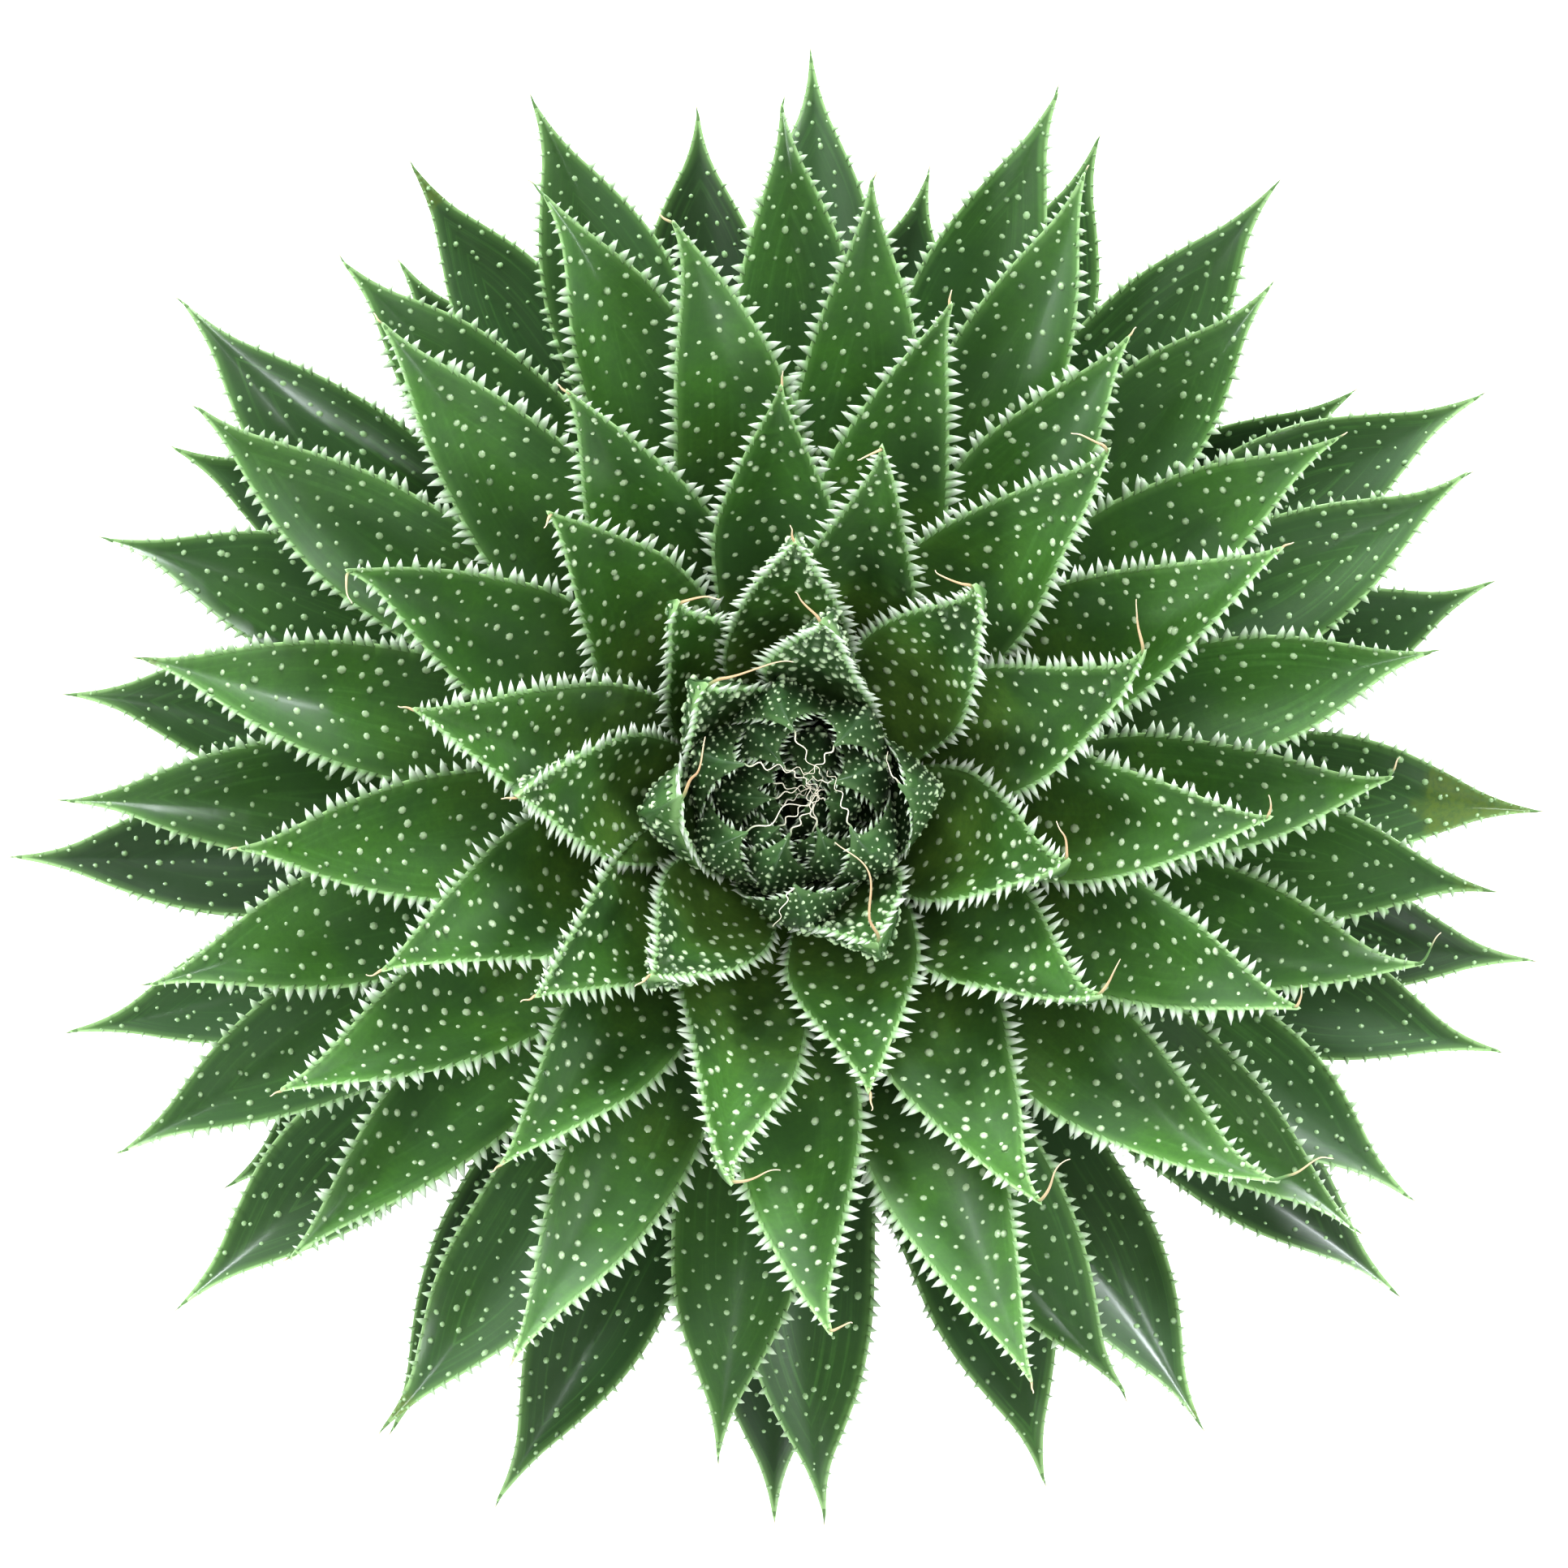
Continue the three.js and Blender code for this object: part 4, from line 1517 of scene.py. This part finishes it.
@dataclass
class Soil:
    """The potting mix: an uneven surface with loose crumbs, bark and grit on it."""

    rings: int = 46
    sides: int = 120
    crumbs: int = 900
    mound: float = 2 * MM
    taper: float = 0.74
    relief: float = 0.09 * MM
    sink: float = 0.3 * MM

    def build(self, finish: bpy.types.Material) -> bpy.types.Object:
        """Builds the soil inside the frame's own soil.

        Args:
            finish: The potting mix.

        Returns:
            The soil.
        """
        low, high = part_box("soil")
        rng = np.random.default_rng(12)
        top, bottom, rim = high.z, low.z, high.x
        angle = circle(self.sides)
        share = np.linspace(1, 0.02, self.rings)
        waves = rng.uniform(-1, 1, (14, 4))

        def height(x: Array, y: Array) -> Array:
            """The soil's height at places on its surface.

            Args:
                x: Places towards +X.
                y: Places towards +Y.

            Returns:
                The height at each place.
            """
            radius = np.hypot(x, y)
            dome = top - self.mound * np.clip((radius - rim / 2) / (rim / 2), 0, 1)
            rough = sum(np.sin(x * (160 + 700 * abs(a)) + 9 * b) * np.cos(y * (150 + 760 * abs(c)) + 7 * d)
                        for a, b, c, d in waves)
            return dome + rough * self.relief - self.sink

        base_radius = self.taper * rim
        wall = np.linspace(0, 1, 6)[:, None]
        side_radius = base_radius + (rim - base_radius) * wall
        x_wall, y_wall = side_radius * np.cos(angle), side_radius * np.sin(angle)
        z_wall = bottom + (height(rim * np.cos(angle), rim * np.sin(angle)) - bottom) * wall
        x_top = rim * share[:, None] * np.cos(angle)
        y_top = rim * share[:, None] * np.sin(angle)
        z_top = height(x_top, y_top)
        grid = np.stack([np.concatenate([x_wall[:-1], x_top]), np.concatenate([y_wall[:-1], y_top]),
                         np.concatenate([z_wall[:-1], z_top])], axis=-1)
        middle = float(height(np.array(0.0), np.array(0.0)))
        draft = Draft(("tone",))
        draft.add_closed(grid.reshape(-1, 3), self.sides, [[0, 0, bottom], [0, 0, middle]])
        for _ in range(self.crumbs):
            out = rim * 0.985 * math.sqrt(rng.uniform(0.14, 1))
            turn = rng.uniform(0, 2 * math.pi)
            x, y = out * math.cos(turn), out * math.sin(turn)
            size = rng.uniform(0.5, 1.5) * MM * (1 if out < rim * 0.93 else 0.6)
            self._crumb(draft, rng, x, y, float(height(np.array(x), np.array(y))), size)
        piece = draft.build("potting_mix", [finish])
        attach(piece, BODY)
        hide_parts("soil")
        LOG.info("soil: %d crumbs", self.crumbs)
        return piece

    @staticmethod
    def _crumb(draft: Draft, rng: np.random.Generator, x: float, y: float, z: float, size: float) -> None:
        """Adds one angular crumb, half sunk in the surface.

        Args:
            draft: Where the crumb is added.
            rng: The source of its shape.
            x: Its middle towards +X.
            y: Its middle towards +Y.
            z: The height of the surface there.
            size: Half its width.
        """
        sides = 6
        angle = circle(sides) + rng.uniform(0, 1)
        flat = rng.uniform(0.35, 0.8)
        long = rng.uniform(0.7, 1.4)
        spin = rng.uniform(0, math.pi)
        rows = []
        for share, girth in ((-0.7, 0.6), (0.0, 1.0), (0.6, 0.7)):
            wide = girth * size * rng.uniform(0.75, 1.15, sides)
            u, v = wide * np.cos(angle) * long, wide * np.sin(angle)
            level = np.full(sides, z + share * size * flat) + rng.uniform(-0.1, 0.1, sides) * size
            rows.append(np.stack([x + u * math.cos(spin) - v * math.sin(spin),
                                  y + u * math.sin(spin) + v * math.cos(spin), level], axis=-1))
        ends = [[x, y, z - 0.85 * size * flat], [x, y, z + 0.85 * size * flat]]
        draft.add_closed(np.concatenate(rows), sides, ends, tone=float(rng.uniform(0, 1)))


@dataclass
class Studio:
    """The pale floor, the soft lights and the camera straight above."""

    centre: tuple[float, float] = (0.65 * MM, 0.30 * MM)
    picture_width: float = 186.0 * MM
    picture_height: float = 118.0 * MM
    camera_distance: float = 1.25
    floor_half: float = 3.0
    light_distance: float = 1.15
    light_aim_height: float = 0.13
    light_colour: tuple[float, float, float] = (0.90, 0.96, 1.0)
    overhead_place: tuple[float, float, float] = (0.1, 0.15, 1.95)
    overhead_size: float = 0.9
    overhead_power: float = 12.0
    room_strength: float = 0.43
    # Each softbox: heading, lean from straight above, width, height and power in watts.
    softboxes: tuple[tuple[float, float, float, float, float], ...] = (
        (78, 66, 0.30, 0.34, 19.0), (135, 64, 0.30, 0.34, 18.0), (196, 66, 0.24, 0.30, 9.0),
        (258, 66, 0.20, 0.26, 5.5), (312, 66, 0.20, 0.26, 5.5), (18, 66, 0.28, 0.32, 12.0),
        (105, 40, 0.24, 0.24, 5.0), (215, 40, 0.20, 0.20, 3.0), (330, 40, 0.20, 0.20, 3.0),
    )

    def build(self, floor_finish: bpy.types.Material) -> None:
        """Sets up all that isn't part of the object.

        Args:
            floor_finish: The floor's finish.
        """
        self._floor(floor_finish)
        self._lights()
        self._camera()
        scene = bpy.context.scene
        scene.view_settings.view_transform = "Standard"
        scene.view_settings.look = "None"

    def _floor(self, finish: bpy.types.Material) -> None:
        """Lays the floor under the pot's foot.

        Args:
            finish: The floor's finish.
        """
        draft = Draft(("tone",))
        corners = ((-1, -1, 0), (1, -1, 0), (1, 1, 0), (-1, 1, 0))
        draft.add(np.array(corners) * self.floor_half, [np.array([[0, 1, 2, 3]])], 0)
        floor = draft.build("floor", [finish])

    def _lights(self) -> None:
        """Hangs the soft lights and sets the room's own light."""
        for index, (heading, lean, width, height, power) in enumerate(self.softboxes):
            aim, lean = math.radians(heading), math.radians(lean)
            way = np.array([math.sin(lean) * math.cos(aim), math.sin(lean) * math.sin(aim), math.cos(lean)])
            box = self._area_light(f"soft_light_{index + 1}", "RECTANGLE", width, power)
            box.data.size_y = height
            box.data.color = self.light_colour
            box.location = way * self.light_distance + np.array([0, 0, self.light_aim_height])
            box.rotation_euler = look_along(-way)
        overhead = self._area_light("overhead_light", "DISK", self.overhead_size, self.overhead_power)
        overhead.location = self.overhead_place
        world = bpy.data.worlds.new("room")
        world.use_nodes = True
        backdrop = world.node_tree.nodes["Background"]
        backdrop.inputs["Color"].default_value = (1.0, 1.0, 1.0, 1)
        backdrop.inputs["Strength"].default_value = self.room_strength
        bpy.context.scene.world = world

    @staticmethod
    def _area_light(name: str, shape: str, size: float, power: float) -> bpy.types.Object:
        """Makes an area light that faces down.

        Args:
            name: The light's name.
            shape: The outline of the light.
            size: Its width.
            power: Its power in watts.

        Returns:
            The light, linked to the scene.
        """
        data = bpy.data.lights.new(name, "AREA")
        data.shape, data.size, data.energy = shape, size, power
        light = bpy.data.objects.new(name, data)
        bpy.context.scene.collection.objects.link(light)
        return light

    def _camera(self) -> None:
        """Puts the camera over the rosette, with the picture's top towards +Y."""
        data = bpy.data.cameras.new("camera")
        data.sensor_width = 36.0
        data.sensor_fit = "HORIZONTAL"
        data.lens = data.sensor_width * self.camera_distance / self.picture_width
        data.clip_start = 0.05
        data.clip_end = 20.0
        camera = bpy.data.objects.new("camera", data)
        camera.location = (*self.centre, self.picture_height + self.camera_distance)
        camera.rotation_euler = (0.0, 0.0, 0.0)
        bpy.context.scene.collection.objects.link(camera)
        bpy.context.scene.camera = camera


def look_along(aim: Array) -> tuple[float, float, float]:
    """The turn that makes a light face along a direction.

    Args:
        aim: The direction.

    Returns:
        The turn about X, Y and Z in radians.
    """
    flat = math.hypot(aim[0], aim[1])
    return (math.pi / 2 + math.atan2(aim[2], flat), 0.0, math.atan2(aim[1], aim[0]) - math.pi / 2)


def main() -> None:
    logging.basicConfig(level=logging.INFO, format="%(name)s: %(message)s")
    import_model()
    skin = SkinFinish("leaf_skin", roughness=0.5, specular=0.35, broad_scale=85.0, fine_scale=1400.0,
                      bump=0.3, depth=0.09 * MM).make()
    tooth = ToothFinish("leaf_tooth", roughness=0.45).make()
    hair = HairFinish("leaf_hair", roughness=0.6).make()
    Rosette().build([skin, tooth, hair])
    Pot().build(ClayFinish("clay", roughness=0.85, fine_scale=1500.0, bump=0.35, depth=0.2 * MM).make())
    earth = EarthFinish("potting_mix", roughness=0.95, fine_scale=700.0, bump=0.6, depth=0.4 * MM).make()
    Soil().build(earth)
    Stem().build(HuskFinish("dry_husk", roughness=0.8, fine_scale=1600.0, bump=0.4, depth=0.15 * MM).make())
    Studio().build(FloorFinish("floor", roughness=0.8, bump=0.0).make())


if __name__ == "__main__":
    main()
